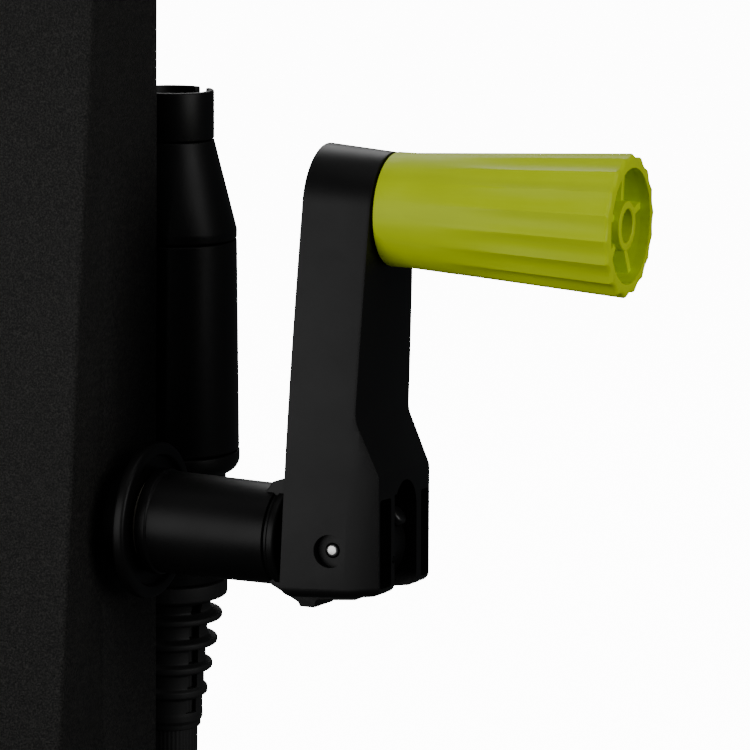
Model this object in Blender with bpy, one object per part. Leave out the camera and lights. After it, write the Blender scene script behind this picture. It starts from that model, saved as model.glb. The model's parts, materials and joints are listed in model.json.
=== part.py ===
"""Hand crank unit of a garden hose machine.

A tapered hollow post on a foot carries a folding hand crank on a flanged bearing.  The crank
turns a shaft that runs through the post to a drive dog, where a drum is driven.  A spray nozzle
stands stowed behind the post, on a hose that comes up from a port in the foot.

The origin is on the foot's underside, straight below the crank's axle and in the middle of the
post's width.  +Z is up, +X is the side that the crank is on and +Y is the back.
"""

import math

import bmesh
import bpy
from mathutils import Matrix, Vector

MM = 0.001

# ---------------------------------------------------------------- driving dimensions
CLEARANCE = 0.3 * MM            # between neighbouring pieces
RUNNING_GAP = 0.4 * MM          # between pieces that turn or slide on each other

HUB_HEIGHT = 180 * MM           # crank axle above the floor

POST_WIDTH = 60 * MM
POST_HEIGHT = 384 * MM          # top of the shell above the floor
POST_BACK = 23.8 * MM           # back face behind the axle
POST_FRONT_AT_HUB = 35.4 * MM   # front face before the axle, at the axle's height
POST_FRONT_SLOPE = 0.099        # the front face leans back as it rises
POST_WALL = 2.5 * MM
POST_EDGE = 1.6 * MM            # radius of the post's upright edges
CAP_THICKNESS = 3 * MM
CAP_SKIRT = 9 * MM

FOOT_THICKNESS = 12 * MM
FOOT_WIDTH = 104 * MM
FOOT_FRONT = 72 * MM
FOOT_BEHIND_HOSE = 38 * MM
FOOT_CORNER = 14 * MM
SPIGOT_HEIGHT = 26 * MM         # of the foot's plug inside the post
SPIGOT_WALL = 3 * MM
ANCHOR_HOLE = 2.8 * MM          # radius of the foot's four floor screw holes
ANCHOR_INSET = 14 * MM
SPIGOT_EDGE = 2 * MM            # bevel of the foot's top
POST_SCREW_RISE = 15 * MM       # post screws above the foot's top
POST_SCREW_Y = -14 * MM

SHAFT_RADIUS = 8 * MM
SQUARE_SHARE = 1.4              # shaft's square, across its flats, to the shaft's radius
BUSH_WALL = 4.1 * MM            # of both bearings, where they pass the post's walls
BUSH_REACH = 4 * MM             # bearings past the post's inner faces
FLANGE_RADIUS = 24 * MM
FLANGE_STANDOFF = 12 * MM       # flange face before the post's side
FLANGE_THICKNESS = 4 * MM
FLANGE_RIM = 3.6 * MM
FLANGE_DISH = 2 * MM
FLANGE_LIP = 1.2 * MM
NECK_WALL = 2.5 * MM            # flange's neck outside the bearing
INNER_FLANGE_BRIM = 6.5 * MM
INNER_FLANGE_THICKNESS = 3 * MM

WASHER_THICKNESS = 1 * MM
WASHER_INSET = 2 * MM           # washer's edge in from the hub's
HUB_BASE_RADIUS = 16.2 * MM
HUB_END_RADIUS = 15.2 * MM
HUB_BASE_COLLAR = 3 * MM
HUB_GROOVE_FROM_END = 3.8 * MM
HUB_END_ROUND = 1.6 * MM
HUB_END_GAP = 5.5 * MM          # between the hub's barrel and the arm
HUB_SOCKET = 34 * MM            # depth of the shaft's square socket in the hub
TONGUE_THICKNESS = 14.2 * MM
TONGUE_END_RADIUS = 12.5 * MM
TONGUE_TOP_EAR = 3.1 * MM       # ears of the tongue above and below the hub's barrel
TONGUE_LOW_EAR = 3.5 * MM
TONGUE_NUB = 1.2 * MM
TONGUE_TOE = 16.1 * MM          # tongue's lower edge below the pin
SET_SCREW_RADIUS = 1.6 * MM
SET_SCREW_LENGTH = 7 * MM
CATCH_ANGLE = math.radians(40)  # fold catch on the tongue's round end, above level
CATCH_ASIDE = 3.6 * MM
CATCH_PIN_RADIUS = 1.5 * MM
CATCH_PIN_LENGTH = 5 * MM
CATCH_KNOB_RADIUS = 3.2 * MM
CATCH_KNOB_HEIGHT = 2.4 * MM

CIRCLIP_THICKNESS = 1.2 * MM
CIRCLIP_BRIM = 2.6 * MM
GROOVE_DEPTH = 1 * MM
GROOVE_LAND = 1.5 * MM          # shaft between the circlip and the drive dog
DOG_RADIUS = 21 * MM
DOG_THICKNESS = 6 * MM
DOG_LUG_LENGTH = 7 * MM
DOG_LUGS = 3
DOG_LUG_DEPTH = 6.5 * MM
DOG_WASHER_BRIM = 2.3 * MM      # of the dog screw, past the shaft's square
DOG_WASHER_THICKNESS = 1.2 * MM
DOG_HEAD_RADIUS = 4.4 * MM
DOG_HEAD_HEIGHT = 3.4 * MM

CRANK_REST_LEAN = math.radians(5)   # the arm's rest angle, its head towards the back
CRANK_RADIUS = 100 * MM
PIVOT_REACH = 78.3 * MM         # folding pin from the post's side
PIN_RADIUS = 2 * MM
PIN_RECESS_RADIUS = 4.9 * MM
PIN_RECESS_DEPTH = 3.6 * MM
CLIP_WIRE = 1.2 * MM            # thickness of the pin's clip
ARM_INNER_REACH = 15 * MM       # arm's post side before the pin
ARM_THICKNESS = 20.9 * MM
ARM_DRAFT = 0.07                # the arm's sides draw in towards its outer face
ARM_HEAD_RADIUS = 18.3 * MM     # these four are at the arm's post side
ARM_HALF_DEPTH = 22.3 * MM      # of the fork housing, front to back
ARM_BOTTOM = 15.2 * MM          # housing's underside below the pin
ARM_CORNER = 3 * MM
ARM_WAIST_CURVE = 1.5           # above 1 the arm's sides bulge between housing and head
ARM_FOLD_CORNER = 4.2 * MM      # rounds the housing's corner that swings past the hub
HOUSING_EDGE = 2.4 * MM
HOUSING_REACH_TOP = 13.9 * MM   # housing's outer face past the pin, where its ramp ends
HOUSING_REACH_BOTTOM = 15.5 * MM
RAMP_TOP = 39 * MM
RAMP_BOTTOM = 23 * MM
FORK_ROOF = 16.6 * MM           # roof of the fork's slot above the pin
FRONT_RIB = 2.7 * MM            # between the fork and the housing's side slots
BACK_RIB = 5.4 * MM
SIDE_SLOT_DEPTH = 9 * MM
SIDE_SLOT_WALL = 1.4 * MM
SIDE_SLOT_FLOOR = 3 * MM
ARM_POCKET_DEPTH = 15 * MM
ARM_POCKET_WALL = 3.2 * MM
ARM_POCKET_ROOF = 6 * MM        # between the fork and the lowest pocket
ARM_RIBS = 2
ARM_RIB = 2.4 * MM

GRIP_GAP = 0.8 * MM             # between the arm and the grip
GRIP_LENGTH = 73.5 * MM
GRIP_BASE_RADIUS = 16.9 * MM
GRIP_END_RADIUS = 20.9 * MM
GRIP_PLAIN = 6 * MM             # straight stretch at the arm
GRIP_FLUTES = 18
GRIP_FLUTE_DEPTH = 0.7 * MM
GRIP_FLUTE_START = 18 * MM
GRIP_FLUTE_FADE = 26 * MM       # length in which the flutes reach their depth
GRIP_END_CHAMFER = 1.4 * MM
GRIP_MOUTH_RADIUS = 16.8 * MM
GRIP_POCKET_DEPTH = 34 * MM
GRIP_POCKET_TAPER = 3 * MM
GRIP_TUBE_RADIUS = 7.2 * MM
GRIP_TUBE_BORE = 4.9 * MM
GRIP_SPOKES = 5
GRIP_SPOKE_THICKNESS = 2 * MM
GRIP_SPOKE_INSET = 3 * MM       # spokes behind the grip's end
GRIP_TUBE_INSET = 1 * MM        # tube behind the grip's end
AXLE_RADIUS = 3.5 * MM
AXLE_HEAD_RADIUS = 7 * MM
AXLE_HEAD_THICKNESS = 3 * MM
GRIP_SCREW_INSET = 14.5 * MM    # screw's seat behind the grip's end

HOSE_INSET = 8 * MM             # axis of hose and nozzle in from the post's crank side
HOSE_STANDOFF = 26.2 * MM       # and behind the post's back
HOSE_RADIUS = 8.5 * MM
HOSE_WALL = 2.3 * MM
PORT_THREAD_WALL = 4.2 * MM     # round the hose
PORT_SHOULDER = 3 * MM          # port past its thread
PORT_TOP = 46 * MM
PORT_THREAD = 9 * MM
NUT_CROWN = 7 * MM              # nut's taper above the port
HOSE_SEAT = 26 * MM             # hose end above the floor
WATERWAY = 5.5 * MM             # radius of the water's way through the port and the inlet
INLET_HEIGHT = 17 * MM
INLET_LENGTH = 16 * MM
INLET_THREAD = 8 * MM
INLET_WALL = 1.9 * MM
INLET_BLOCK_WALL = 6 * MM
INLET_BLOCK_CORNER = 5 * MM
INLET_BRIM = 3.6 * MM
INLET_BRIM_THICKNESS = 3 * MM
INLET_BARBS = 3
INLET_BARB_RISE = 1.2 * MM

BOOT_TOP = -30.6 * MM           # heights of hose and nozzle pieces are from the crank's axle
BOOT_COLLAR = 5 * MM
BOOT_COLLAR_BRIM = 0.7 * MM     # past the connector
BOOT_FIRST_RIB = -42.7 * MM
BOOT_RIB_PITCH = 8.3 * MM
BOOT_RIBS = 5
BOOT_WALL = 3.5 * MM            # rubber round the hose above the first rib
BOOT_RIB_HEIGHT = 4.3 * MM
BOOT_TIP_STEP = 1.55 * MM
BOOT_VALLEY_STEP = 0.5 * MM
BOOT_RIB_THICKNESS = 3.6 * MM
CONNECTOR_WALL = 8.4 * MM       # round the hose
CONNECTOR_TOP = 10.7 * MM
CONNECTOR_STEP = 2.8 * MM       # from the body in to the neck
CONNECTOR_LEDGE = 3.4 * MM      # from the neck in to the plug
CONNECTOR_PLUG_TOP = 29 * MM
HOSE_TOP = -12 * MM
SEAL_SECTION = 1.3 * MM
SEAL_FROM_TOP = 6 * MM
COLLAR_BOTTOM = 4.4 * MM
COLLAR_TOP = 11.4 * MM
COLLAR_WALL = 7.2 * MM
COLLAR_ROUND = 4.5 * MM
BARREL_STEP = 0.2 * MM          # barrel's lower end in from the collar
BARREL_TAPER = 1.1 * MM
BARREL_TOP = 78.9 * MM
BARREL_WALL = 2.4 * MM
BARREL_DRAFT = 2 * MM           # the barrel's inside is narrower at its top
BARREL_FLOOR = 19 * MM          # depth of the plug's socket in the barrel
CONE_SHOULDER = 82.1 * MM
CONE_TOP = 110.3 * MM
CONE_TOP_RADIUS = 13 * MM
CONE_SPIGOT = 5 * MM
HEAD_TOP = 125.9 * MM
HEAD_RADIUS = 12.9 * MM
HEAD_WALL = 1.9 * MM
BAYONET_WIDTH = 5.6 * MM
BAYONET_DEPTH = 5 * MM
BAYONET_HOOK = 3.4 * MM
BAYONET_TURN = math.radians(62)
JET_SEAT = 114 * MM
JET_FLOOR = 2 * MM              # head's ledge under the jet insert
JET_BORE = 1.5 * MM
JET_TIP_RADIUS = 4 * MM
JET_HEIGHT = 6 * MM

CLIP_BOTTOM = -25 * MM
CLIP_HEIGHT = 15 * MM
CLIP_THICKNESS = 3 * MM
CLIP_OPENING = 100              # degrees, of its mouth at the back
CLIP_WEB = 8 * MM
SADDLE_BOTTOM = 46 * MM
SADDLE_HEIGHT = 16 * MM
SADDLE_THICKNESS = 2.6 * MM
SADDLE_WRAP = (185, 262)        # degrees, of the saddle round the barrel
SADDLE_ARM_INSET = 12 * MM      # saddle's arm left of the nozzle's axis
SADDLE_ARM_WIDTH = 5 * MM
PLATE_THICKNESS = 3 * MM        # of the clip's and the saddle's plates on the post
PLATE_INSET = 6 * MM            # plates in from the post's far edge
SCREW_INSET = 4.6 * MM
CLIP_SCREW_PITCH = 14 * MM
SCREW_RADIUS = 1.8 * MM
SCREW_HEAD_RADIUS = 3.6 * MM
SCREW_HEAD_HEIGHT = 2 * MM
SCREW_LENGTH = 9 * MM

# ---------------------------------------------------------------- places that follow from them
SIDE = POST_WIDTH / 2                   # the crank side of the post
HUB = Vector((SIDE, 0, HUB_HEIGHT))     # crank frame: X out of the post's side, Z along the arm
SHELL_BOTTOM = FOOT_THICKNESS + CLEARANCE
HOSE_X = SIDE - HOSE_INSET
HOSE_Y = POST_BACK + HOSE_STANDOFF
FOOT_BACK = HOSE_Y + FOOT_BEHIND_HOSE
SHAFT_SQUARE = SQUARE_SHARE * SHAFT_RADIUS
BUSH_RADIUS = SHAFT_RADIUS + RUNNING_GAP + BUSH_WALL
NECK_RADIUS = BUSH_RADIUS + NECK_WALL
INNER_FLANGE_RADIUS = BUSH_RADIUS + INNER_FLANGE_BRIM
CIRCLIP_RADIUS = SHAFT_RADIUS + CIRCLIP_BRIM
DISH_FLOOR = FLANGE_STANDOFF - FLANGE_DISH
WASHER_FACE = DISH_FLOOR + RUNNING_GAP
HUB_START = WASHER_FACE + WASHER_THICKNESS + RUNNING_GAP
FORK_HALF = TONGUE_THICKNESS / 2 + RUNNING_GAP
ARM_INNER_FACE = PIVOT_REACH - ARM_INNER_REACH
ARM_OUTER_FACE = ARM_INNER_FACE + ARM_THICKNESS
HOUSING_FACE_TOP = PIVOT_REACH + HOUSING_REACH_TOP
HOUSING_FACE_BOTTOM = PIVOT_REACH + HOUSING_REACH_BOTTOM
HUB_END = ARM_INNER_FACE - HUB_END_GAP
GRIP_BASE = ARM_OUTER_FACE + GRIP_GAP
GRIP_END = GRIP_BASE + GRIP_LENGTH
AXLE_END = GRIP_END - GRIP_SCREW_INSET
FAR_FACE = -POST_WIDTH                  # the post's other side, in the crank frame
CIRCLIP_FACE = FAR_FACE - CLEARANCE - INNER_FLANGE_THICKNESS - RUNNING_GAP
DOG_FACE = CIRCLIP_FACE - CIRCLIP_THICKNESS - GROOVE_LAND
SHAFT_FAR_END = DOG_FACE - DOG_THICKNESS - CLEARANCE
HOSE_AXIS = Vector((HOSE_X, HOSE_Y, HUB_HEIGHT))
HOSE_BORE = HOSE_RADIUS - HOSE_WALL
PORT_THREAD_RADIUS = HOSE_RADIUS + CLEARANCE + PORT_THREAD_WALL
PORT_RADIUS = PORT_THREAD_RADIUS + PORT_SHOULDER
BOOT_FIRST_VALLEY = HOSE_RADIUS + BOOT_WALL
BOOT_FIRST_TIP = BOOT_FIRST_VALLEY + BOOT_RIB_HEIGHT
CONNECTOR_RADIUS = HOSE_RADIUS + CLEARANCE + CONNECTOR_WALL
CONNECTOR_NECK = CONNECTOR_RADIUS - CONNECTOR_STEP
CONNECTOR_PLUG_RADIUS = CONNECTOR_NECK - CONNECTOR_LEDGE
SEAL_FLOOR = CONNECTOR_PLUG_RADIUS - 2 * SEAL_SECTION - CLEARANCE
COLLAR_RADIUS = CONNECTOR_NECK + COLLAR_WALL
BARREL_BOTTOM_RADIUS = COLLAR_RADIUS - BARREL_STEP
BARREL_TOP_RADIUS = BARREL_BOTTOM_RADIUS - BARREL_TAPER
EDGE = 0.6 * MM                 # broken edge of a turned piece
CUT_PAST = 1 * MM               # cutters reach this far past what they cut
NEAR_ZERO = 1e-6
ROUND = 32                      # facets round a large, a middling and a small piece
MEDIUM = 20
SMALL = 10


# ---------------------------------------------------------------- tools
def clear_scene():
    for item in list(bpy.data.objects):
        bpy.data.objects.remove(item, do_unlink=True)


def material(name, colour, roughness, metallic=0.0):
    made = bpy.data.materials.new(name)
    made.use_nodes = True
    shader = made.node_tree.nodes["Principled BSDF"]
    shader.inputs["Base Color"].default_value = (*colour, 1.0)
    shader.inputs["Roughness"].default_value = roughness
    shader.inputs["Metallic"].default_value = metallic
    return made


def place(name, mesh_data, finish, parent=None, smooth=True):
    """Put a bmesh in the scene as one named object."""
    mesh = bpy.data.meshes.new(name)
    bmesh.ops.recalc_face_normals(mesh_data, faces=mesh_data.faces)
    mesh_data.to_mesh(mesh)
    mesh_data.free()
    item = bpy.data.objects.new(name, mesh)
    bpy.context.scene.collection.objects.link(item)
    if finish:
        mesh.materials.append(finish)
    if smooth:
        mesh.shade_smooth()
        mesh.set_sharp_from_angle(angle=math.radians(32))
    item.parent = parent
    return item


def turned_shape(profile, axis="Z", centre=(0, 0, 0), segments=ROUND):
    """Turn a closed outline of (radius, height) points about an axis."""
    shape = bmesh.new()
    corners = [shape.verts.new((max(radius, 0), 0, height)) for radius, height in profile]
    edges = [shape.edges.new((a, b)) for a, b in zip(corners, corners[1:] + corners[:1])]
    on_axis = [e for e in edges if all(v.co.x < NEAR_ZERO for v in e.verts)]
    kept = [e for e in edges if e not in on_axis]
    for edge in on_axis:
        shape.edges.remove(edge)
    bmesh.ops.spin(shape, geom=corners + kept, cent=(0, 0, 0), axis=(0, 0, 1), dvec=(0, 0, 0),
                   angle=math.tau, steps=segments, use_merge=True, use_duplicate=False)
    bmesh.ops.remove_doubles(shape, verts=shape.verts, dist=NEAR_ZERO)
    if axis == "X":
        bmesh.ops.rotate(shape, verts=shape.verts, matrix=Matrix.Rotation(math.pi / 2, 3, "Y"))
    if axis == "Y":
        bmesh.ops.rotate(shape, verts=shape.verts, matrix=Matrix.Rotation(-math.pi / 2, 3, "X"))
    bmesh.ops.translate(shape, verts=shape.verts, vec=centre)
    return shape


def turned(name, profile, finish, parent=None, axis="Z", centre=(0, 0, 0), segments=ROUND):
    return place(name, turned_shape(profile, axis, centre, segments), finish, parent)


def prism_shape(outline, low, high, across="Z"):
    """Extrude a flat outline from low to high along an axis."""
    spread = {"Z": lambda a, b, c: (a, b, c), "Y": lambda a, b, c: (a, c, b),
              "X": lambda a, b, c: (c, a, b)}[across]
    shape = bmesh.new()
    face = shape.faces.new([shape.verts.new(spread(a, b, low)) for a, b in outline])
    grown = bmesh.ops.extrude_face_region(shape, geom=[face])["geom"]
    tops = [v for v in grown if isinstance(v, bmesh.types.BMVert)]
    bmesh.ops.translate(shape, verts=tops, vec=spread(0, 0, high - low))
    return shape


def prism(name, outline, low, high, finish, parent=None, across="Z", smooth=False):
    return place(name, prism_shape(outline, low, high, across), finish, parent, smooth)


def skin_shape(rings, endless=False):
    """Join rings of equal length side by side, and close both ends or the last to the first."""
    shape = bmesh.new()
    loops = [[shape.verts.new(point) for point in ring] for ring in rings]
    pairs = list(zip(loops, loops[1:]))
    if endless:
        pairs.append((loops[-1], loops[0]))
    for one, two in pairs:
        for index in range(len(one)):
            after = (index + 1) % len(one)
            shape.faces.new((one[index], one[after], two[after], two[index]))
    if not endless:
        shape.faces.new(loops[0])
        shape.faces.new(loops[-1])
    return shape


def arc(centre_a, centre_b, radius, start, end, steps):
    """Points on an arc, angles in degrees."""
    angles = [math.radians(start + (end - start) * k / steps) for k in range(steps + 1)]
    return [(centre_a + radius * math.cos(a), centre_b + radius * math.sin(a)) for a in angles]


def rounded_box(left, right, low, high, radius, steps=4):
    corners = ((right - radius, high - radius, 0), (left + radius, high - radius, 90),
               (left + radius, low + radius, 180), (right - radius, low + radius, 270))
    outline = []
    for a, b, start in corners:
        outline += arc(a, b, radius, start, start + 90, steps)
    return outline


def block_shape(low, high):
    outline = [(low[0], low[1]), (high[0], low[1]), (high[0], high[1]), (low[0], high[1])]
    return prism_shape(outline, low[2], high[2])


def combine(target, shape, operation="DIFFERENCE"):
    """Cut a shape out of an object, or weld it on, with a hidden helper object."""
    helper = place(target.name + "_tool_" + str(len(target.modifiers)), shape, None, target.parent,
                   smooth=False)
    helper.hide_render = True
    helper.display_type = "WIRE"
    boolean = target.modifiers.new("shape", "BOOLEAN")
    boolean.operation = operation
    boolean.solver = "EXACT"
    boolean.object = helper


def rod_shape(radius, low, high, axis="Z", centre=(0, 0, 0), segments=MEDIUM):
    return turned_shape([(0, low), (radius, low), (radius, high), (0, high)], axis, centre, segments)


def stepped_bore_shape(steps, axis="Z", centre=(0, 0, 0), segments=MEDIUM):
    """A cutter of several radii in line; each step is its radius, start and end."""
    profile = [(0, steps[0][1])]
    for radius, low, high in steps:
        profile += [(radius, low), (radius, high)]
    profile.append((0, steps[-1][2]))
    return turned_shape(profile, axis, centre, segments)


def ring_profile(inner, outer, low, high):
    return [(inner, low), (outer, low), (outer, high), (inner, high)]


def frame_empty(name, location, lean=0.0):
    empty = bpy.data.objects.new(name, None)
    bpy.context.scene.collection.objects.link(empty)
    empty.location = location
    empty.rotation_euler = (-lean, 0, 0)
    return empty


# ---------------------------------------------------------------- the post and its foot
def post_front(height):
    return -POST_FRONT_AT_HUB + POST_FRONT_SLOPE * (height - HUB_HEIGHT)


def post_ring(height, inset=0.0):
    """The post's outline at a height, drawn in from its outer faces."""
    radius = max(POST_EDGE - inset, 0.4 * MM)
    outline = rounded_box(-SIDE + inset, SIDE - inset, post_front(height) + inset,
                          POST_BACK - inset, radius, 2)
    return [(x, y, height) for x, y in outline]


def back_screw_places():
    """Screws of the holder clip and the saddle, in the post's back wall."""
    clip = HUB_HEIGHT + CLIP_BOTTOM + CLIP_HEIGHT / 2
    saddle = HUB_HEIGHT + SADDLE_BOTTOM + SADDLE_HEIGHT / 2
    first = -SIDE + PLATE_INSET + SCREW_INSET
    return [(first, clip), (first + CLIP_SCREW_PITCH, clip), (first, saddle)]


def make_post(finish):
    rings = [post_ring(SHELL_BOTTOM), post_ring(POST_HEIGHT),
             post_ring(POST_HEIGHT, POST_WALL), post_ring(SHELL_BOTTOM, POST_WALL)]
    shell = place("post_shell", skin_shape(rings, endless=True), finish, smooth=False)
    combine(shell, rod_shape(BUSH_RADIUS + CLEARANCE, -SIDE - POST_WALL, SIDE + POST_WALL, "X",
                             (0, 0, HUB_HEIGHT), ROUND))
    for x, height in back_screw_places():
        combine(shell, rod_shape(SCREW_RADIUS + CLEARANCE, 0, 3 * POST_WALL, "Y",
                                 (x, POST_BACK - 2 * POST_WALL, height)))
    combine(shell, rod_shape(SCREW_RADIUS + CLEARANCE, -SIDE - POST_WALL, SIDE + POST_WALL, "X",
                             (0, POST_SCREW_Y, FOOT_THICKNESS + POST_SCREW_RISE)))


def make_cap(finish):
    inside = POST_WALL + CLEARANCE
    seat = POST_HEIGHT + CLEARANCE
    top = seat + CAP_THICKNESS
    skirt_end = POST_HEIGHT - CAP_SKIRT
    skirt_inside = inside + 2 * POST_WALL
    edge = CAP_THICKNESS / 3
    rings = [post_ring(seat, skirt_inside), post_ring(skirt_end, skirt_inside),
             post_ring(skirt_end, inside), post_ring(seat, inside), post_ring(seat),
             post_ring(top - edge), post_ring(top, edge)]
    place("post_cap", skin_shape(rings), finish, smooth=False)


def make_foot(finish, steel):
    outline = rounded_box(-FOOT_WIDTH / 2, FOOT_WIDTH / 2, -FOOT_FRONT, FOOT_BACK, FOOT_CORNER, 5)
    edge = SPIGOT_EDGE
    drawn_in = rounded_box(-FOOT_WIDTH / 2 + edge, FOOT_WIDTH / 2 - edge, -FOOT_FRONT + edge,
                           FOOT_BACK - edge, FOOT_CORNER - edge, 5)
    rings = [[(x, y, 0) for x, y in outline], [(x, y, FOOT_THICKNESS - edge) for x, y in outline],
             [(x, y, FOOT_THICKNESS) for x, y in drawn_in]]
    foot = place("foot", skin_shape(rings), finish, smooth=False)

    inside = POST_WALL + CLEARANCE
    sink = SPIGOT_EDGE
    low, high = FOOT_THICKNESS - sink, FOOT_THICKNESS + SPIGOT_HEIGHT
    spigot = [post_ring(low, inside), post_ring(high, inside),
              post_ring(high, inside + SPIGOT_WALL), post_ring(low, inside + SPIGOT_WALL)]
    combine(foot, skin_shape(spigot, endless=True), "UNION")
    port = [(0, low), (PORT_RADIUS, low), (PORT_RADIUS, PORT_TOP - PORT_THREAD),
            (PORT_THREAD_RADIUS, PORT_TOP - PORT_THREAD), (PORT_THREAD_RADIUS, PORT_TOP),
            (0, PORT_TOP)]
    combine(foot, turned_shape(port, centre=(HOSE_X, HOSE_Y, 0)), "UNION")
    back_block = rounded_box(HOSE_X - PORT_RADIUS, HOSE_X + PORT_RADIUS, low,
                             INLET_HEIGHT + WATERWAY + INLET_BLOCK_WALL, INLET_BLOCK_CORNER)
    combine(foot, prism_shape(back_block, HOSE_Y, FOOT_BACK, "Y"), "UNION")
    steps = [(WATERWAY, INLET_HEIGHT, HOSE_SEAT),
             (HOSE_RADIUS + CLEARANCE, HOSE_SEAT, PORT_TOP + sink)]
    combine(foot, stepped_bore_shape(steps, centre=(HOSE_X, HOSE_Y, 0)))
    thread = FOOT_BACK - INLET_THREAD - CLEARANCE
    steps = [(WATERWAY, HOSE_Y, thread),
             (WATERWAY + INLET_WALL + CLEARANCE, thread, FOOT_BACK + sink)]
    combine(foot, stepped_bore_shape(steps, "Y", (HOSE_X, 0, INLET_HEIGHT)))
    for side in (-1, 1):
        for y in (-FOOT_FRONT + ANCHOR_INSET, FOOT_BACK - ANCHOR_INSET):
            x = side * (FOOT_WIDTH / 2 - ANCHOR_INSET)
            combine(foot, rod_shape(ANCHOR_HOLE, -sink, FOOT_THICKNESS + sink, centre=(x, y, 0)))
        low, high = sorted((side * SIDE, side * (SIDE - POST_WALL - 3 * SPIGOT_WALL)))
        combine(foot, rod_shape(SCREW_RADIUS + CLEARANCE, low, high, "X",
                                (0, POST_SCREW_Y, FOOT_THICKNESS + POST_SCREW_RISE)))

    stem = WATERWAY + INLET_WALL
    brim = stem + INLET_BRIM
    inlet = [(WATERWAY, -INLET_THREAD), (stem, -INLET_THREAD), (stem, CLEARANCE), (brim, CLEARANCE),
             (brim, INLET_BRIM_THICKNESS), (stem + INLET_BARB_RISE, INLET_BRIM_THICKNESS)]
    pitch = (INLET_LENGTH - INLET_BRIM_THICKNESS - CUT_PAST) / INLET_BARBS
    for barb in range(INLET_BARBS):
        start = INLET_BRIM_THICKNESS + barb * pitch
        inlet += [(stem + INLET_BARB_RISE + EDGE, start + EDGE), (stem + EDGE, start + pitch)]
    inlet += [(stem, INLET_LENGTH), (WATERWAY, INLET_LENGTH)]
    turned("inlet_spigot", inlet, finish, axis="Y", segments=MEDIUM,
           centre=(HOSE_X, FOOT_BACK, INLET_HEIGHT))

    for number, side in enumerate((-1, 1), 1):
        place("post_screw_" + str(number), side_screw_shape(side), steel)


def side_screw_shape(side):
    """A pan-head screw through the post's side wall, pointing inwards."""
    shape = turned_shape(screw_profile(), "X", (0, 0, 0), SMALL)
    if side < 0:
        bmesh.ops.rotate(shape, verts=shape.verts, matrix=Matrix.Rotation(math.pi, 3, "Z"))
    bmesh.ops.translate(shape, verts=shape.verts,
                        vec=(side * (SIDE + CLEARANCE), POST_SCREW_Y,
                             FOOT_THICKNESS + POST_SCREW_RISE))
    return shape


def screw_profile():
    """Outline of a pan-head screw, its head's seat at height 0."""
    head = SCREW_HEAD_RADIUS
    return [(0, -SCREW_LENGTH), (SCREW_RADIUS * 0.6, -SCREW_LENGTH),
            (SCREW_RADIUS, -SCREW_LENGTH + 1.2 * MM), (SCREW_RADIUS, 0), (head, 0),
            (head, SCREW_HEAD_HEIGHT * 0.5), (head * 0.75, SCREW_HEAD_HEIGHT), (0, SCREW_HEAD_HEIGHT)]


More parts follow.
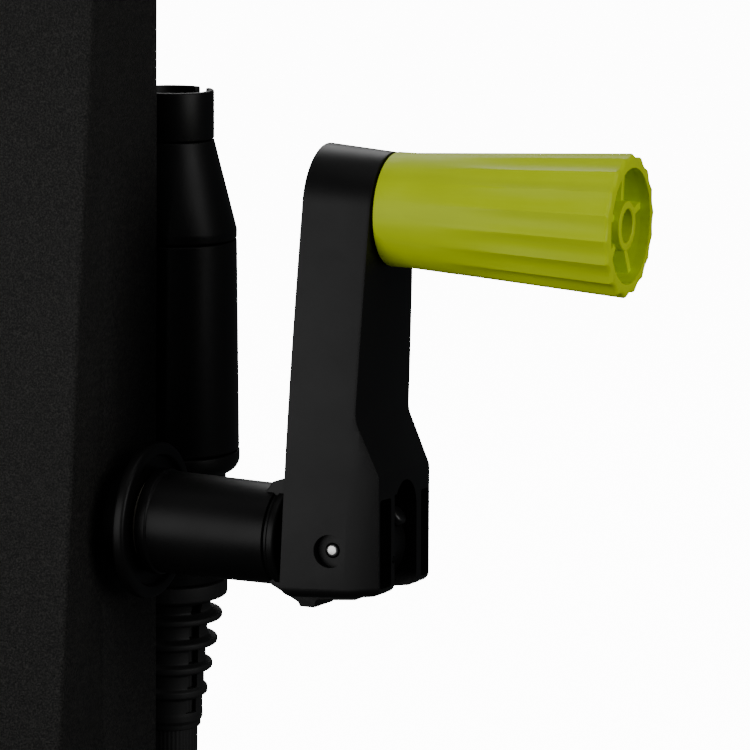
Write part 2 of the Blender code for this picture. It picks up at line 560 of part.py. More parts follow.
# ---------------------------------------------------------------- bearings, shaft and drive dog
def make_drive(plastic, steel, bronze, still, crank):
    bore = SHAFT_RADIUS + RUNNING_GAP
    inner_end = -POST_WALL - BUSH_REACH
    back = FLANGE_STANDOFF - FLANGE_THICKNESS
    rim = FLANGE_RADIUS - FLANGE_RIM
    lip = FLANGE_LIP
    flange = [(bore, inner_end), (BUSH_RADIUS, inner_end), (BUSH_RADIUS, CLEARANCE),
              (NECK_RADIUS, CLEARANCE), (NECK_RADIUS, back), (FLANGE_RADIUS - lip, back)]
    flange += arc(FLANGE_RADIUS - lip, back + lip, lip, -90, 0, 2)[1:]
    flange += arc(FLANGE_RADIUS - lip, FLANGE_STANDOFF - lip, lip, 0, 90, 2)
    flange += [(rim + lip, FLANGE_STANDOFF), (rim, FLANGE_STANDOFF - lip), (rim - lip, DISH_FLOOR),
               (bore, DISH_FLOOR)]
    turned("bearing_flange", flange, plastic, still, "X")

    outer = FAR_FACE - CLEARANCE
    brim = outer - INNER_FLANGE_THICKNESS
    inner_end = FAR_FACE + POST_WALL + BUSH_REACH
    bush = [(bore, brim), (INNER_FLANGE_RADIUS, brim), (INNER_FLANGE_RADIUS, outer),
            (BUSH_RADIUS, outer), (BUSH_RADIUS, inner_end), (bore, inner_end)]
    turned("inner_bearing", bush, plastic, still, "X")

    turned("thrust_washer", ring_profile(bore, HUB_BASE_RADIUS - WASHER_INSET, WASHER_FACE,
                                         WASHER_FACE + WASHER_THICKNESS), bronze, crank, "X")

    groove = (CIRCLIP_FACE + CLEARANCE, CIRCLIP_FACE - CIRCLIP_THICKNESS - CLEARANCE)
    square_start = DOG_FACE + RUNNING_GAP / 2
    body = [(0, square_start), (SHAFT_RADIUS, square_start), (SHAFT_RADIUS, groove[1]),
            (SHAFT_RADIUS - GROOVE_DEPTH, groove[1]), (SHAFT_RADIUS - GROOVE_DEPTH, groove[0]),
            (SHAFT_RADIUS, groove[0]), (SHAFT_RADIUS, HUB_START - RUNNING_GAP),
            (0, HUB_START - RUNNING_GAP)]
    shaft = turned("drive_shaft", body, steel, crank, "X")
    half = SHAFT_SQUARE / 2
    square = [(-half, -half), (half, -half), (half, half), (-half, half)]
    overlap = GROOVE_LAND / 3
    for low, high in ((SHAFT_FAR_END + 2 * CLEARANCE, square_start + overlap),
                      (HUB_START - RUNNING_GAP - overlap, HUB_START + HUB_SOCKET - CUT_PAST)):
        combine(shaft, prism_shape(square, low, high, "X"), "UNION")
    combine(shaft, rod_shape(SCREW_RADIUS + CLEARANCE, SHAFT_FAR_END - CUT_PAST,
                             SHAFT_FAR_END + SCREW_LENGTH + 3 * CUT_PAST, "X"))

    turned("shaft_circlip", ring_profile(SHAFT_RADIUS - GROOVE_DEPTH + CLEARANCE, CIRCLIP_RADIUS,
                                         CIRCLIP_FACE - CIRCLIP_THICKNESS, CIRCLIP_FACE),
           steel, crank, "X", segments=MEDIUM)

    far = DOG_FACE - DOG_THICKNESS
    dog = turned("drive_dog", [(0, far), (DOG_RADIUS - EDGE, far), (DOG_RADIUS, far + EDGE),
                               (DOG_RADIUS, DOG_FACE), (0, DOG_FACE)], plastic, crank, "X")
    seat = half + CLEARANCE
    hole = [(-seat, -seat), (seat, -seat), (seat, seat), (-seat, seat)]
    for lug in range(DOG_LUGS):
        turn = 360 * lug / DOG_LUGS
        outer = DOG_RADIUS - 2 * EDGE
        ring = arc(0, 0, outer, turn - 22, turn + 22, 8)
        ring += arc(0, 0, outer - DOG_LUG_DEPTH, turn + 18, turn - 18, 8)
        combine(dog, prism_shape(ring, far - DOG_LUG_LENGTH, far + CUT_PAST, "X"), "UNION")
    combine(dog, prism_shape(hole, far - CUT_PAST, DOG_FACE + CUT_PAST, "X"))

    brim = SHAFT_SQUARE / math.sqrt(2) + DOG_WASHER_BRIM
    seat_face = far - CLEARANCE
    under_head = seat_face - DOG_WASHER_THICKNESS
    top = under_head - DOG_HEAD_HEIGHT
    screw = [(0, seat_face + SCREW_LENGTH), (SCREW_RADIUS, seat_face + SCREW_LENGTH),
             (SCREW_RADIUS, seat_face), (brim, seat_face), (brim, under_head),
             (DOG_HEAD_RADIUS, under_head), (DOG_HEAD_RADIUS, top + EDGE),
             (DOG_HEAD_RADIUS - EDGE, top), (0, top)]
    turned("dog_screw", screw[::-1], steel, crank, "X", segments=MEDIUM)


# ---------------------------------------------------------------- the crank
def tongue_outline():
    """Side view of the hub's tongue, which the arm folds on."""
    pin = PIVOT_REACH
    top_ear = HUB_END_RADIUS + TONGUE_TOP_EAR
    low_ear = HUB_END_RADIUS + TONGUE_LOW_EAR
    root = HUB_END - 10 * MM
    nub = HUB_END + 5 * MM
    nub_end = nub + 6 * MM
    points = [(root, 0), (root + 2 * MM, -12 * MM), (HUB_END - 3.6 * MM, -HUB_END_RADIUS + EDGE),
              (nub, -low_ear), (nub + EDGE, -low_ear - TONGUE_NUB),
              (nub_end - EDGE, -low_ear - TONGUE_NUB), (nub_end, -low_ear + TONGUE_NUB),
              (pin + 3.4 * MM, -TONGUE_TOE)]
    points += arc(pin, 0, TONGUE_END_RADIUS, -60, 90, 14)
    points += [(ARM_INNER_FACE + CUT_PAST, TONGUE_END_RADIUS + 2 * MM),
               (HUB_END + 1 * MM, top_ear - 1 * MM), (HUB_END - EDGE, top_ear),
               (HUB_END - 5 * MM, top_ear - 1.6 * MM), (root + 2 * MM, 12 * MM)]
    return points


def make_hub(finish, steel, crank):
    base, end = HUB_BASE_RADIUS, HUB_END_RADIUS
    collar = HUB_START + HUB_BASE_COLLAR
    groove = HUB_END - HUB_GROOVE_FROM_END
    rim = HUB_END_ROUND
    barrel = [(0, HUB_START), (base - EDGE, HUB_START), (base, HUB_START + EDGE),
              (base, collar), (base - EDGE, collar + EDGE), (end, groove - EDGE), (end - EDGE, groove),
              (end - EDGE, groove + EDGE), (end, groove + 2 * EDGE)]
    barrel += arc(end - rim, HUB_END - rim, rim, 0, 90, 3)
    barrel += [(0, HUB_END)]
    hub = turned("crank_hub", barrel, finish, crank, "X")
    half = TONGUE_THICKNESS / 2
    combine(hub, prism_shape(tongue_outline(), -half, half, "Y"), "UNION")
    seat = SHAFT_SQUARE / 2 + CLEARANCE
    hole = [(-seat, -seat), (seat, -seat), (seat, seat), (-seat, seat)]
    combine(hub, prism_shape(hole, HUB_START - CUT_PAST, HUB_START + HUB_SOCKET, "X"))
    combine(hub, rod_shape(PIN_RADIUS + CLEARANCE, -TONGUE_THICKNESS, TONGUE_THICKNESS, "Y",
                           (PIVOT_REACH, 0, 0)))
    screw_x = HUB_START + HUB_SOCKET / 2
    combine(hub, rod_shape(SET_SCREW_RADIUS + CLEARANCE, 0, 2 * HUB_BASE_RADIUS, "Y",
                           (screw_x, 0, 0), SMALL))
    pin_low = TONGUE_END_RADIUS - CATCH_PIN_LENGTH
    combine(hub, on_tongue_end(rod_shape(CATCH_PIN_RADIUS + CLEARANCE, pin_low,
                                         2 * TONGUE_END_RADIUS, "X", segments=SMALL)))

    tip = SHAFT_SQUARE / 2 + CLEARANCE
    socket = SET_SCREW_RADIUS / 2
    top = tip + SET_SCREW_LENGTH
    grub = [(0, tip), (SET_SCREW_RADIUS - EDGE, tip), (SET_SCREW_RADIUS, tip + EDGE),
            (SET_SCREW_RADIUS, top), (socket, top), (socket, top - 2 * MM), (0, top - 2 * MM)]
    turned("hub_set_screw", grub, steel, crank, "Y", (screw_x, 0, 0), SMALL)

    seat = TONGUE_END_RADIUS + CLEARANCE
    wide, top = CATCH_KNOB_RADIUS, seat + CATCH_KNOB_HEIGHT
    knob = [(0, pin_low + CLEARANCE), (CATCH_PIN_RADIUS, pin_low + CLEARANCE),
            (CATCH_PIN_RADIUS, seat), (wide, seat), (wide, top - 2 * EDGE), (wide - 2 * EDGE, top),
            (0, top)]
    place("fold_catch", on_tongue_end(turned_shape(knob, "X", segments=MEDIUM)), steel, crank)


def on_tongue_end(shape):
    """Move a shape that points along X to where the fold catch stands on the tongue."""
    bmesh.ops.rotate(shape, verts=shape.verts, matrix=Matrix.Rotation(-CATCH_ANGLE, 3, "Y"))
    bmesh.ops.translate(shape, verts=shape.verts, vec=(PIVOT_REACH, CATCH_ASIDE, 0))
    return shape


def arm_half_depth(height):
    """The arm narrows from its housing to its head."""
    share = min(max((height - RAMP_BOTTOM) / (CRANK_RADIUS - RAMP_BOTTOM), 0), 1)
    return ARM_HALF_DEPTH + (ARM_HEAD_RADIUS - ARM_HALF_DEPTH) * share ** ARM_WAIST_CURVE


def arm_ring(along):
    """The arm's outline at a distance from the post's side, drawn in by its draft."""
    inset = ARM_DRAFT * (along - ARM_INNER_FACE)
    half, bottom = ARM_HALF_DEPTH - inset, -ARM_BOTTOM + inset
    outline = arc(-half + ARM_CORNER, bottom + ARM_CORNER, ARM_CORNER, 180, 270, 4)
    outline += arc(half - ARM_CORNER, bottom + ARM_CORNER, ARM_CORNER, 270, 360, 4)
    steps = 4
    rises = [RAMP_BOTTOM + (CRANK_RADIUS - RAMP_BOTTOM) * k / steps for k in range(steps)]
    outline += [(arm_half_depth(height) - inset, height) for height in rises]
    outline += arc(0, CRANK_RADIUS, ARM_HEAD_RADIUS - inset, 0, 180, 24)
    outline += [(inset - arm_half_depth(height), height) for height in reversed(rises)]
    return [(along, y, z) for y, z in outline]


def make_arm(finish, steel, arm):
    """The arm in the crank frame: X out of the post, Z along the arm."""
    half, near, far = ARM_HALF_DEPTH, ARM_INNER_FACE, HOUSING_FACE_BOTTOM
    blank = place("crank_arm", skin_shape([arm_ring(near), arm_ring(far)]), finish, arm)
    wide = 2 * half
    past = far + 4 * CUT_PAST
    low = -ARM_BOTTOM + ARM_DRAFT * (far - near)
    under = -ARM_BOTTOM - CUT_PAST
    over = CRANK_RADIUS + ARM_HEAD_RADIUS + CUT_PAST
    beyond = [(far - HOUSING_EDGE, under), (far - HOUSING_EDGE, low)]
    beyond += arc(far - HOUSING_EDGE, low + HOUSING_EDGE, HOUSING_EDGE, -90, 0, 4)[1:]
    beyond += [(HOUSING_FACE_TOP, RAMP_BOTTOM), (ARM_OUTER_FACE, RAMP_TOP), (ARM_OUTER_FACE, over),
               (past, over), (past, under)]
    combine(blank, prism_shape(beyond, -wide, wide, "Y"))
    turn = ARM_FOLD_CORNER
    inner_corner = [(near - CUT_PAST, under), (near + turn, under), (near + turn, -ARM_BOTTOM)]
    inner_corner += arc(near + turn, -ARM_BOTTOM + turn, turn, 270, 180, 4)[1:]
    inner_corner += [(near - CUT_PAST, -ARM_BOTTOM + turn)]
    combine(blank, prism_shape(inner_corner, -wide, wide, "Y"))

    fork = [(near - CUT_PAST, under), (past, under), (past, FORK_ROOF), (near - CUT_PAST, FORK_ROOF)]
    combine(blank, prism_shape(fork, -FORK_HALF, FORK_HALF, "Y"))
    half_at_face = half - ARM_DRAFT * (far - near)
    for side, rib in ((-1, FRONT_RIB), (1, BACK_RIB)):
        walls = sorted((side * (half_at_face - SIDE_SLOT_WALL), side * (FORK_HALF + rib)))
        slot = block_shape((HOUSING_FACE_TOP - SIDE_SLOT_DEPTH, walls[0], low + SIDE_SLOT_FLOOR),
                           (past, walls[1], FORK_ROOF - EDGE))
        combine(blank, slot)
    recess = half - PIN_RECESS_DEPTH
    steps = [(PIN_RECESS_RADIUS, -wide, -recess), (PIN_RADIUS + CLEARANCE, -recess, recess),
             (PIN_RECESS_RADIUS, recess, wide)]
    combine(blank, stepped_bore_shape(steps, "Y", (PIVOT_REACH, 0, 0)))

    low, high = FORK_ROOF + ARM_POCKET_ROOF, CRANK_RADIUS - ARM_HEAD_RADIUS + 2 * MM
    cell = (high - low - ARM_RIBS * ARM_RIB) / (ARM_RIBS + 1)
    for index in range(ARM_RIBS + 1):
        start = low + index * (cell + ARM_RIB)
        end = start + cell
        wide_low = arm_half_depth(start) - ARM_POCKET_WALL
        wide_high = arm_half_depth(end) - ARM_POCKET_WALL
        cut = skin_shape([[(x, -wide_low, start), (x, wide_low, start), (x, wide_high, end),
                           (x, -wide_high, end)] for x in (near - CUT_PAST, near + ARM_POCKET_DEPTH)])
        combine(blank, cut)
    head_seat = near + AXLE_HEAD_THICKNESS + 2 * CLEARANCE
    steps = [(AXLE_HEAD_RADIUS + CLEARANCE, near - CUT_PAST, head_seat),
             (AXLE_RADIUS + CLEARANCE, head_seat, past)]
    combine(blank, stepped_bore_shape(steps, "X", (0, 0, CRANK_RADIUS)))

    tail = recess + CLIP_WIRE + 2 * EDGE
    pin = [(0, -recess - EDGE), (PIN_RADIUS - EDGE, -recess - EDGE), (PIN_RADIUS, -recess),
           (PIN_RADIUS, tail), (PIN_RADIUS - EDGE, tail + EDGE), (0, tail + EDGE)]
    turned("pivot_pin", pin, steel, arm, "Y", (PIVOT_REACH, 0, 0), MEDIUM)
    turned("pin_clip", ring_profile(PIN_RADIUS + CLEARANCE, PIN_RECESS_RADIUS - CLEARANCE,
                                    recess + CLEARANCE, recess + CLIP_WIRE),
           steel, arm, "Y", (PIVOT_REACH, 0, 0), MEDIUM)


# ---------------------------------------------------------------- the grip
def grip_radius(along):
    share = max(along - GRIP_PLAIN, 0) / (GRIP_LENGTH - GRIP_PLAIN)
    return GRIP_BASE_RADIUS + (GRIP_END_RADIUS - GRIP_BASE_RADIUS) * share


def grip_ring(along, shrink=0.0, steps=3):
    """One ring of the grip's outside, with its flutes."""
    fade = min(max((along - GRIP_FLUTE_START) / GRIP_FLUTE_FADE, 0), 1)
    points = []
    for index in range(GRIP_FLUTES * steps):
        turn = math.tau * index / (GRIP_FLUTES * steps)
        hollow = GRIP_FLUTE_DEPTH * fade if index % steps == 0 else 0
        radius = grip_radius(along) - hollow - shrink
        points.append((GRIP_BASE + along, radius * math.sin(turn), radius * math.cos(turn)))
    return points


def make_grip(finish, steel, grip, arm):
    stations = [(0, EDGE), (EDGE, 0), (GRIP_PLAIN, 0), (GRIP_FLUTE_START, 0),
                (GRIP_FLUTE_START + GRIP_FLUTE_FADE / 2, 0), (GRIP_FLUTE_START + GRIP_FLUTE_FADE, 0),
                (GRIP_LENGTH - GRIP_END_CHAMFER, 0), (GRIP_LENGTH, GRIP_END_CHAMFER)]
    body = place("grip", skin_shape([grip_ring(along, shrink) for along, shrink in stations]),
                 finish, grip)
    pocket_floor = GRIP_END - GRIP_POCKET_DEPTH
    tube_end = GRIP_END - GRIP_TUBE_INSET
    ring = [(GRIP_TUBE_RADIUS, pocket_floor), (GRIP_MOUTH_RADIUS - GRIP_POCKET_TAPER, pocket_floor),
            (GRIP_MOUTH_RADIUS, GRIP_END - GRIP_SPOKE_INSET), (GRIP_MOUTH_RADIUS, GRIP_END + CUT_PAST),
            (0, GRIP_END + CUT_PAST), (0, tube_end), (GRIP_TUBE_RADIUS, tube_end)]
    combine(body, turned_shape(ring, "X"))
    for spoke in range(GRIP_SPOKES):
        half = GRIP_SPOKE_THICKNESS / 2
        fin = block_shape((pocket_floor - CUT_PAST, -half, GRIP_TUBE_RADIUS - CUT_PAST),
                          (GRIP_END - GRIP_SPOKE_INSET, half, GRIP_MOUTH_RADIUS + CUT_PAST))
        turn = Matrix.Rotation(math.tau * spoke / GRIP_SPOKES, 3, "X")
        bmesh.ops.rotate(fin, verts=fin.verts, matrix=turn)
        combine(body, fin, "UNION")
    seat = AXLE_END - CLEARANCE
    steps = [(AXLE_RADIUS + RUNNING_GAP, GRIP_BASE - CUT_PAST, seat), (GRIP_TUBE_BORE, seat, GRIP_END)]
    combine(body, stepped_bore_shape(steps, "X"))

    head_low = ARM_INNER_FACE + CLEARANCE
    head_top = head_low + AXLE_HEAD_THICKNESS
    hole = SCREW_RADIUS + CLEARANCE
    hole_floor = AXLE_END - SCREW_LENGTH - CUT_PAST
    axle = [(0, head_low), (AXLE_HEAD_RADIUS - EDGE, head_low), (AXLE_HEAD_RADIUS, head_low + EDGE),
            (AXLE_HEAD_RADIUS, head_top), (AXLE_RADIUS, head_top), (AXLE_RADIUS, AXLE_END),
            (hole, AXLE_END), (hole, hole_floor), (0, hole_floor)]
    turned("grip_axle", axle, steel, arm, "X", (0, 0, CRANK_RADIUS), MEDIUM)
    seat = AXLE_END + CLEARANCE
    head = GRIP_TUBE_BORE - CLEARANCE
    top = seat + SCREW_HEAD_HEIGHT
    screw = [(0, seat - SCREW_LENGTH), (SCREW_RADIUS, seat - SCREW_LENGTH), (SCREW_RADIUS, seat),
             (head, seat), (head, top - EDGE), (head - EDGE, top), (0, top)]
    turned("grip_screw", screw, steel, arm, "X", (0, 0, CRANK_RADIUS), SMALL)


# ---------------------------------------------------------------- nozzle, connector and hose
def make_nozzle(finish, jet_finish, seal_finish, stand):
    low = COLLAR_TOP + RUNNING_GAP
    inside = BARREL_BOTTOM_RADIUS - BARREL_WALL
    plug = CONNECTOR_PLUG_RADIUS + RUNNING_GAP
    floor = low + BARREL_FLOOR
    barrel = [(plug, low), (BARREL_BOTTOM_RADIUS - EDGE, low), (BARREL_BOTTOM_RADIUS, low + EDGE),
              (BARREL_TOP_RADIUS, BARREL_TOP - EDGE), (BARREL_TOP_RADIUS - EDGE, BARREL_TOP),
              (inside - BARREL_DRAFT, BARREL_TOP), (inside - BARREL_DRAFT / 2, floor + 4 * MM),
              (plug, floor)]
    turned("nozzle_barrel", barrel, finish, stand)

    seat = BARREL_TOP + RUNNING_GAP
    neck = inside - BARREL_DRAFT - RUNNING_GAP
    spigot = neck - BARREL_WALL
    top_inside = HEAD_RADIUS - 2 * HEAD_WALL
    cone = [(spigot, seat - CONE_SPIGOT), (neck, seat - CONE_SPIGOT), (neck, seat),
            (BARREL_TOP_RADIUS - EDGE, seat), (BARREL_TOP_RADIUS, seat + EDGE),
            (BARREL_TOP_RADIUS, CONE_SHOULDER)]
    cone += [(CONE_TOP_RADIUS, CONE_TOP), (top_inside, CONE_TOP), (spigot, CONE_SHOULDER - 2 * MM)]
    turned("nozzle_cone", cone, finish, stand)

    head_low = CONE_TOP + RUNNING_GAP
    inner = HEAD_RADIUS - HEAD_WALL
    ledge = JET_SEAT - JET_FLOOR
    head = [(top_inside, head_low), (CONE_TOP_RADIUS - EDGE, head_low),
            (CONE_TOP_RADIUS, head_low + EDGE), (HEAD_RADIUS, HEAD_TOP - EDGE),
            (HEAD_RADIUS - EDGE, HEAD_TOP), (inner + EDGE / 2, HEAD_TOP), (inner, HEAD_TOP - EDGE),
            (inner, ledge), (top_inside, ledge)]
    tip = turned("nozzle_head", head, finish, stand)
    for slot in range(2):
        near, far = inner - 2 * CUT_PAST, HEAD_RADIUS + 2 * CUT_PAST
        entry = block_shape((near, -BAYONET_WIDTH / 2, HEAD_TOP - BAYONET_DEPTH),
                            (far, BAYONET_WIDTH / 2, HEAD_TOP + CUT_PAST))
        hook = block_shape((near, 0, HEAD_TOP - BAYONET_DEPTH),
                           (far, BAYONET_WIDTH / 2 + BAYONET_HOOK, HEAD_TOP - BAYONET_DEPTH / 2))
        for cutter in (entry, hook):
            turn = Matrix.Rotation(BAYONET_TURN + math.pi * slot, 3, "Z")
            bmesh.ops.rotate(cutter, verts=cutter.verts, matrix=turn)
            combine(tip, cutter)

    disc = inner - CLEARANCE
    jet_low = ledge + CLEARANCE
    brim = jet_low + JET_FLOOR
    jet = [(JET_BORE, jet_low), (disc, jet_low), (disc, brim), (JET_TIP_RADIUS + CUT_PAST, brim),
           (JET_TIP_RADIUS, jet_low + JET_HEIGHT), (JET_BORE, jet_low + JET_HEIGHT)]
    turned("jet_insert", jet, jet_finish, stand, segments=MEDIUM)

    bottom = COLLAR_BOTTOM
    inner = CONNECTOR_NECK + RUNNING_GAP
    collar = [(inner, bottom)]
    collar += arc(COLLAR_RADIUS - COLLAR_ROUND, bottom + COLLAR_ROUND, COLLAR_ROUND, -90, 0, 4)
    collar += [(COLLAR_RADIUS, COLLAR_TOP - EDGE), (COLLAR_RADIUS - EDGE, COLLAR_TOP),
               (inner, COLLAR_TOP)]
    turned("lock_collar", collar, finish, stand)

    shoulder = COLLAR_BOTTOM - RUNNING_GAP
    boot_seat = BOOT_TOP + CLEARANCE
    hose_top = HOSE_TOP + CLEARANCE
    sleeve = HOSE_RADIUS + CLEARANCE
    groove_low = CONNECTOR_PLUG_TOP - SEAL_FROM_TOP
    groove = 2 * SEAL_SECTION + 2 * CLEARANCE
    body = [(WATERWAY, hose_top), (sleeve, hose_top), (sleeve, boot_seat),
            (CONNECTOR_RADIUS - EDGE, boot_seat), (CONNECTOR_RADIUS, boot_seat + EDGE),
            (CONNECTOR_RADIUS, shoulder - EDGE), (CONNECTOR_RADIUS - EDGE, shoulder),
            (CONNECTOR_NECK, shoulder), (CONNECTOR_NECK, CONNECTOR_TOP),
            (CONNECTOR_PLUG_RADIUS, CONNECTOR_TOP), (CONNECTOR_PLUG_RADIUS, groove_low),
            (SEAL_FLOOR, groove_low), (SEAL_FLOOR, groove_low + groove),
            (CONNECTOR_PLUG_RADIUS, groove_low + groove),
            (CONNECTOR_PLUG_RADIUS, CONNECTOR_PLUG_TOP - EDGE),
            (CONNECTOR_PLUG_RADIUS - EDGE, CONNECTOR_PLUG_TOP), (WATERWAY, CONNECTOR_PLUG_TOP)]
    turned("connector_body", body, finish, stand)
    seal = arc(SEAL_FLOOR + CLEARANCE + SEAL_SECTION, groove_low + groove / 2, SEAL_SECTION, 0, 315, 7)
    turned("connector_seal", seal, seal_finish, stand)


def make_hose(rubber, hose_finish, plastic, stand):
    bore = HOSE_RADIUS + CLEARANCE
    wide = CONNECTOR_RADIUS + BOOT_COLLAR_BRIM
    collar_low = BOOT_TOP - BOOT_COLLAR
    boot = [(bore, BOOT_TOP), (wide, BOOT_TOP), (wide, collar_low + EDGE), (wide - EDGE, collar_low),
            (BOOT_FIRST_VALLEY + 1 * MM, collar_low - 2 * MM)]
    thick = BOOT_RIB_THICKNESS / 2
    for rib in range(BOOT_RIBS):
        height = BOOT_FIRST_RIB - rib * BOOT_RIB_PITCH
        tip = BOOT_FIRST_TIP - rib * BOOT_TIP_STEP
        valley = BOOT_FIRST_VALLEY - rib * BOOT_VALLEY_STEP
        boot += [(valley, height + thick), (tip, height + thick * 0.4), (tip, height - thick * 0.4),
                 (valley - BOOT_VALLEY_STEP, height - thick)]
    boot_end = BOOT_FIRST_RIB - (BOOT_RIBS - 1) * BOOT_RIB_PITCH - BOOT_RIB_THICKNESS
    boot += [(valley - BOOT_VALLEY_STEP, boot_end + EDGE), (bore, boot_end)]
    turned("hose_boot", boot, rubber, stand)

    end = HOSE_SEAT + CLEARANCE - HUB_HEIGHT
    turned("hose", ring_profile(HOSE_BORE, HOSE_RADIUS, end, HOSE_TOP), hose_finish, stand)

    thread = PORT_TOP - HUB_HEIGHT
    shoulder = thread - PORT_THREAD + CLEARANCE
    nut_inner = PORT_THREAD_RADIUS + CLEARANCE
    nut_top = thread + NUT_CROWN
    nut = [(nut_inner, shoulder), (PORT_RADIUS - EDGE, shoulder), (PORT_RADIUS, shoulder + EDGE),
           (PORT_RADIUS, thread + NUT_CROWN / 3), (bore + 2 * EDGE, nut_top), (bore, nut_top),
           (bore, thread + CLEARANCE), (nut_inner, thread + CLEARANCE)]
    turned("hose_nut", nut, plastic, stand)


# ---------------------------------------------------------------- what holds the nozzle to the post
def make_holders(finish, steel):
    back = POST_BACK + CLEARANCE
    plate = PLATE_THICKNESS
    left, right = -SIDE + PLATE_INSET, SIDE - PLATE_INSET / 2
    clip_low = HUB_HEIGHT + CLIP_BOTTOM
    clip_high = clip_low + CLIP_HEIGHT
    saddle_low = HUB_HEIGHT + SADDLE_BOTTOM
    saddle_high = saddle_low + SADDLE_HEIGHT
    arm_right = HOSE_X - SADDLE_ARM_INSET
    clip = place("holder_clip", block_shape((left, back, clip_low), (right, back + plate, clip_high)),
                 finish, smooth=False)
    saddle = place("barrel_saddle", block_shape((left, back, saddle_low),
                                                (arm_right, back + plate, saddle_high)),
                   finish, smooth=False)
    for number, (x, height) in enumerate(back_screw_places(), 1):
        seat = (x, back + plate + CLEARANCE, height)
        turned("holder_screw_" + str(number), screw_profile(), steel, None, "Y", seat, SMALL)
        holder = clip if height < HUB_HEIGHT else saddle
        combine(holder, rod_shape(SCREW_RADIUS + CLEARANCE, 0, 3 * plate, "Y",
                                  (x, back - plate, height), SMALL))

    inner = CONNECTOR_RADIUS + CLEARANCE
    outer = inner + CLIP_THICKNESS
    gap = CLIP_OPENING / 2
    around = arc(HOSE_X, HOSE_Y, outer, 90 + gap, 450 - gap, 24)
    around += arc(HOSE_X, HOSE_Y, inner, 450 - gap, 90 + gap, 24)
    combine(clip, block_shape((HOSE_X - CLIP_WEB / 2, back + plate - CUT_PAST, clip_low),
                              (HOSE_X + CLIP_WEB / 2, HOSE_Y - inner - CUT_PAST, clip_high)), "UNION")
    combine(clip, prism_shape(around, clip_low, clip_high), "UNION")

    inner = BARREL_BOTTOM_RADIUS + RUNNING_GAP
    outer = inner + SADDLE_THICKNESS
    start, end = SADDLE_WRAP
    around = arc(HOSE_X, HOSE_Y, outer, start, end, 14) + arc(HOSE_X, HOSE_Y, inner, end, start, 14)
    wall_at_arm = math.sqrt((inner + SADDLE_THICKNESS / 2) ** 2 - SADDLE_ARM_INSET ** 2)
    combine(saddle, block_shape((arm_right - SADDLE_ARM_WIDTH, back + CUT_PAST, saddle_low),
                                (arm_right, HOSE_Y - wall_at_arm, saddle_high)), "UNION")
    combine(saddle, prism_shape(around, saddle_low, saddle_high), "UNION")


def main():
    clear_scene()
    speckled = material("speckled black coat", (0.020, 0.019, 0.018), 0.55)
    black = material("black plastic", (0.011, 0.010, 0.010), 0.42)
    lime = material("lime plastic", (0.36, 0.42, 0.012), 0.38)
    rubber = material("black rubber", (0.012, 0.012, 0.012), 0.7)
    steel = material("steel", (0.62, 0.62, 0.60), 0.3, 1.0)
    bronze = material("bearing plastic", (0.45, 0.42, 0.36), 0.5)

    crank = frame_empty("crank_frame", HUB, CRANK_REST_LEAN)
    still = frame_empty("bearing_frame", HUB)
    arm = frame_empty("arm_frame", HUB, CRANK_REST_LEAN)
    grip = frame_empty("grip_frame", (0, 0, CRANK_RADIUS))
    grip.parent = arm
    stand = frame_empty("hose_frame", HOSE_AXIS)

    make_post(speckled)
    make_cap(black)
    make_foot(black, steel)
    make_drive(black, steel, bronze, still, crank)
    make_hub(black, steel, crank)
    make_arm(black, steel, arm)
    make_grip(lime, steel, grip, arm)
    make_nozzle(black, bronze, rubber, stand)
    make_hose(rubber, rubber, black, stand)
    make_holders(black, steel)


main()
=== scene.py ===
"""Fine model of a garden hose machine's crank unit: a Blender add-on that is run as a script.

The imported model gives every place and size.  Each visible piece is modelled here in its final
shape, rides on the body that it moves with, and gets a node-based finish.
"""

import json
import math

import bmesh
import bpy
from bpy.props import FloatProperty, FloatVectorProperty, IntProperty, PointerProperty
from bpy.types import Operator, Panel, PropertyGroup
from mathutils import Matrix, Vector


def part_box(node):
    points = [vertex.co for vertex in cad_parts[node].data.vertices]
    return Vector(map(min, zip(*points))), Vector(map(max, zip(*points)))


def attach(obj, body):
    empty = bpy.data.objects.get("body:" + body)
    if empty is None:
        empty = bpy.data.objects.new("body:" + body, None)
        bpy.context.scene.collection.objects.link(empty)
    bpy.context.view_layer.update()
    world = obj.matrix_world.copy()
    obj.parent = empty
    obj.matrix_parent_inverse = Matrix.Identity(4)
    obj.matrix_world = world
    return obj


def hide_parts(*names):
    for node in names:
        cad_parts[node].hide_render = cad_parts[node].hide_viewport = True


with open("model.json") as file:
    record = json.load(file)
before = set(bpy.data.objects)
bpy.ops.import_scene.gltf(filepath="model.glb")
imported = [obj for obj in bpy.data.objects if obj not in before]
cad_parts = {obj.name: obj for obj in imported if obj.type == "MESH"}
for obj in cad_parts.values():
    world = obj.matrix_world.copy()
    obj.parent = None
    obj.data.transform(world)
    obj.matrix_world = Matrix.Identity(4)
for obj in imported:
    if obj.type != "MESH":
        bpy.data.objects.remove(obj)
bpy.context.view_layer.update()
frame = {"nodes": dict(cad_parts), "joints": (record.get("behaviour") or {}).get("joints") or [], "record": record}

bl_info = {
    "name": "Crank Unit",
    "version": (1, 0, 0),
    "blender": (4, 5, 0),
    "location": "3D View > Sidebar > Crank Unit",
    "description": "Models and finishes the hand crank unit of a garden hose machine",
    "category": "Add Mesh",
}

MM = 0.001
GAP = 0.3 * MM                  # between neighbouring pieces
MERGE = 0.002 * MM              # points of a turned piece that are closer are one
SEAM = 0.005 * MM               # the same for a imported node's loose triangles
FINE = 112                      # facets round a large turned piece
SMALL = 48                      # facets round a bore

# ---- places from the frame
JOINTS = {joint["name"]: joint for joint in frame["joints"]}
HUB = Vector(JOINTS["crank_spin"]["pos_m"])
FOLD_AXIS = Vector(JOINTS["arm_fold"]["axis"])
LEAN = math.atan2(-FOLD_AXIS.z, FOLD_AXIS.y)
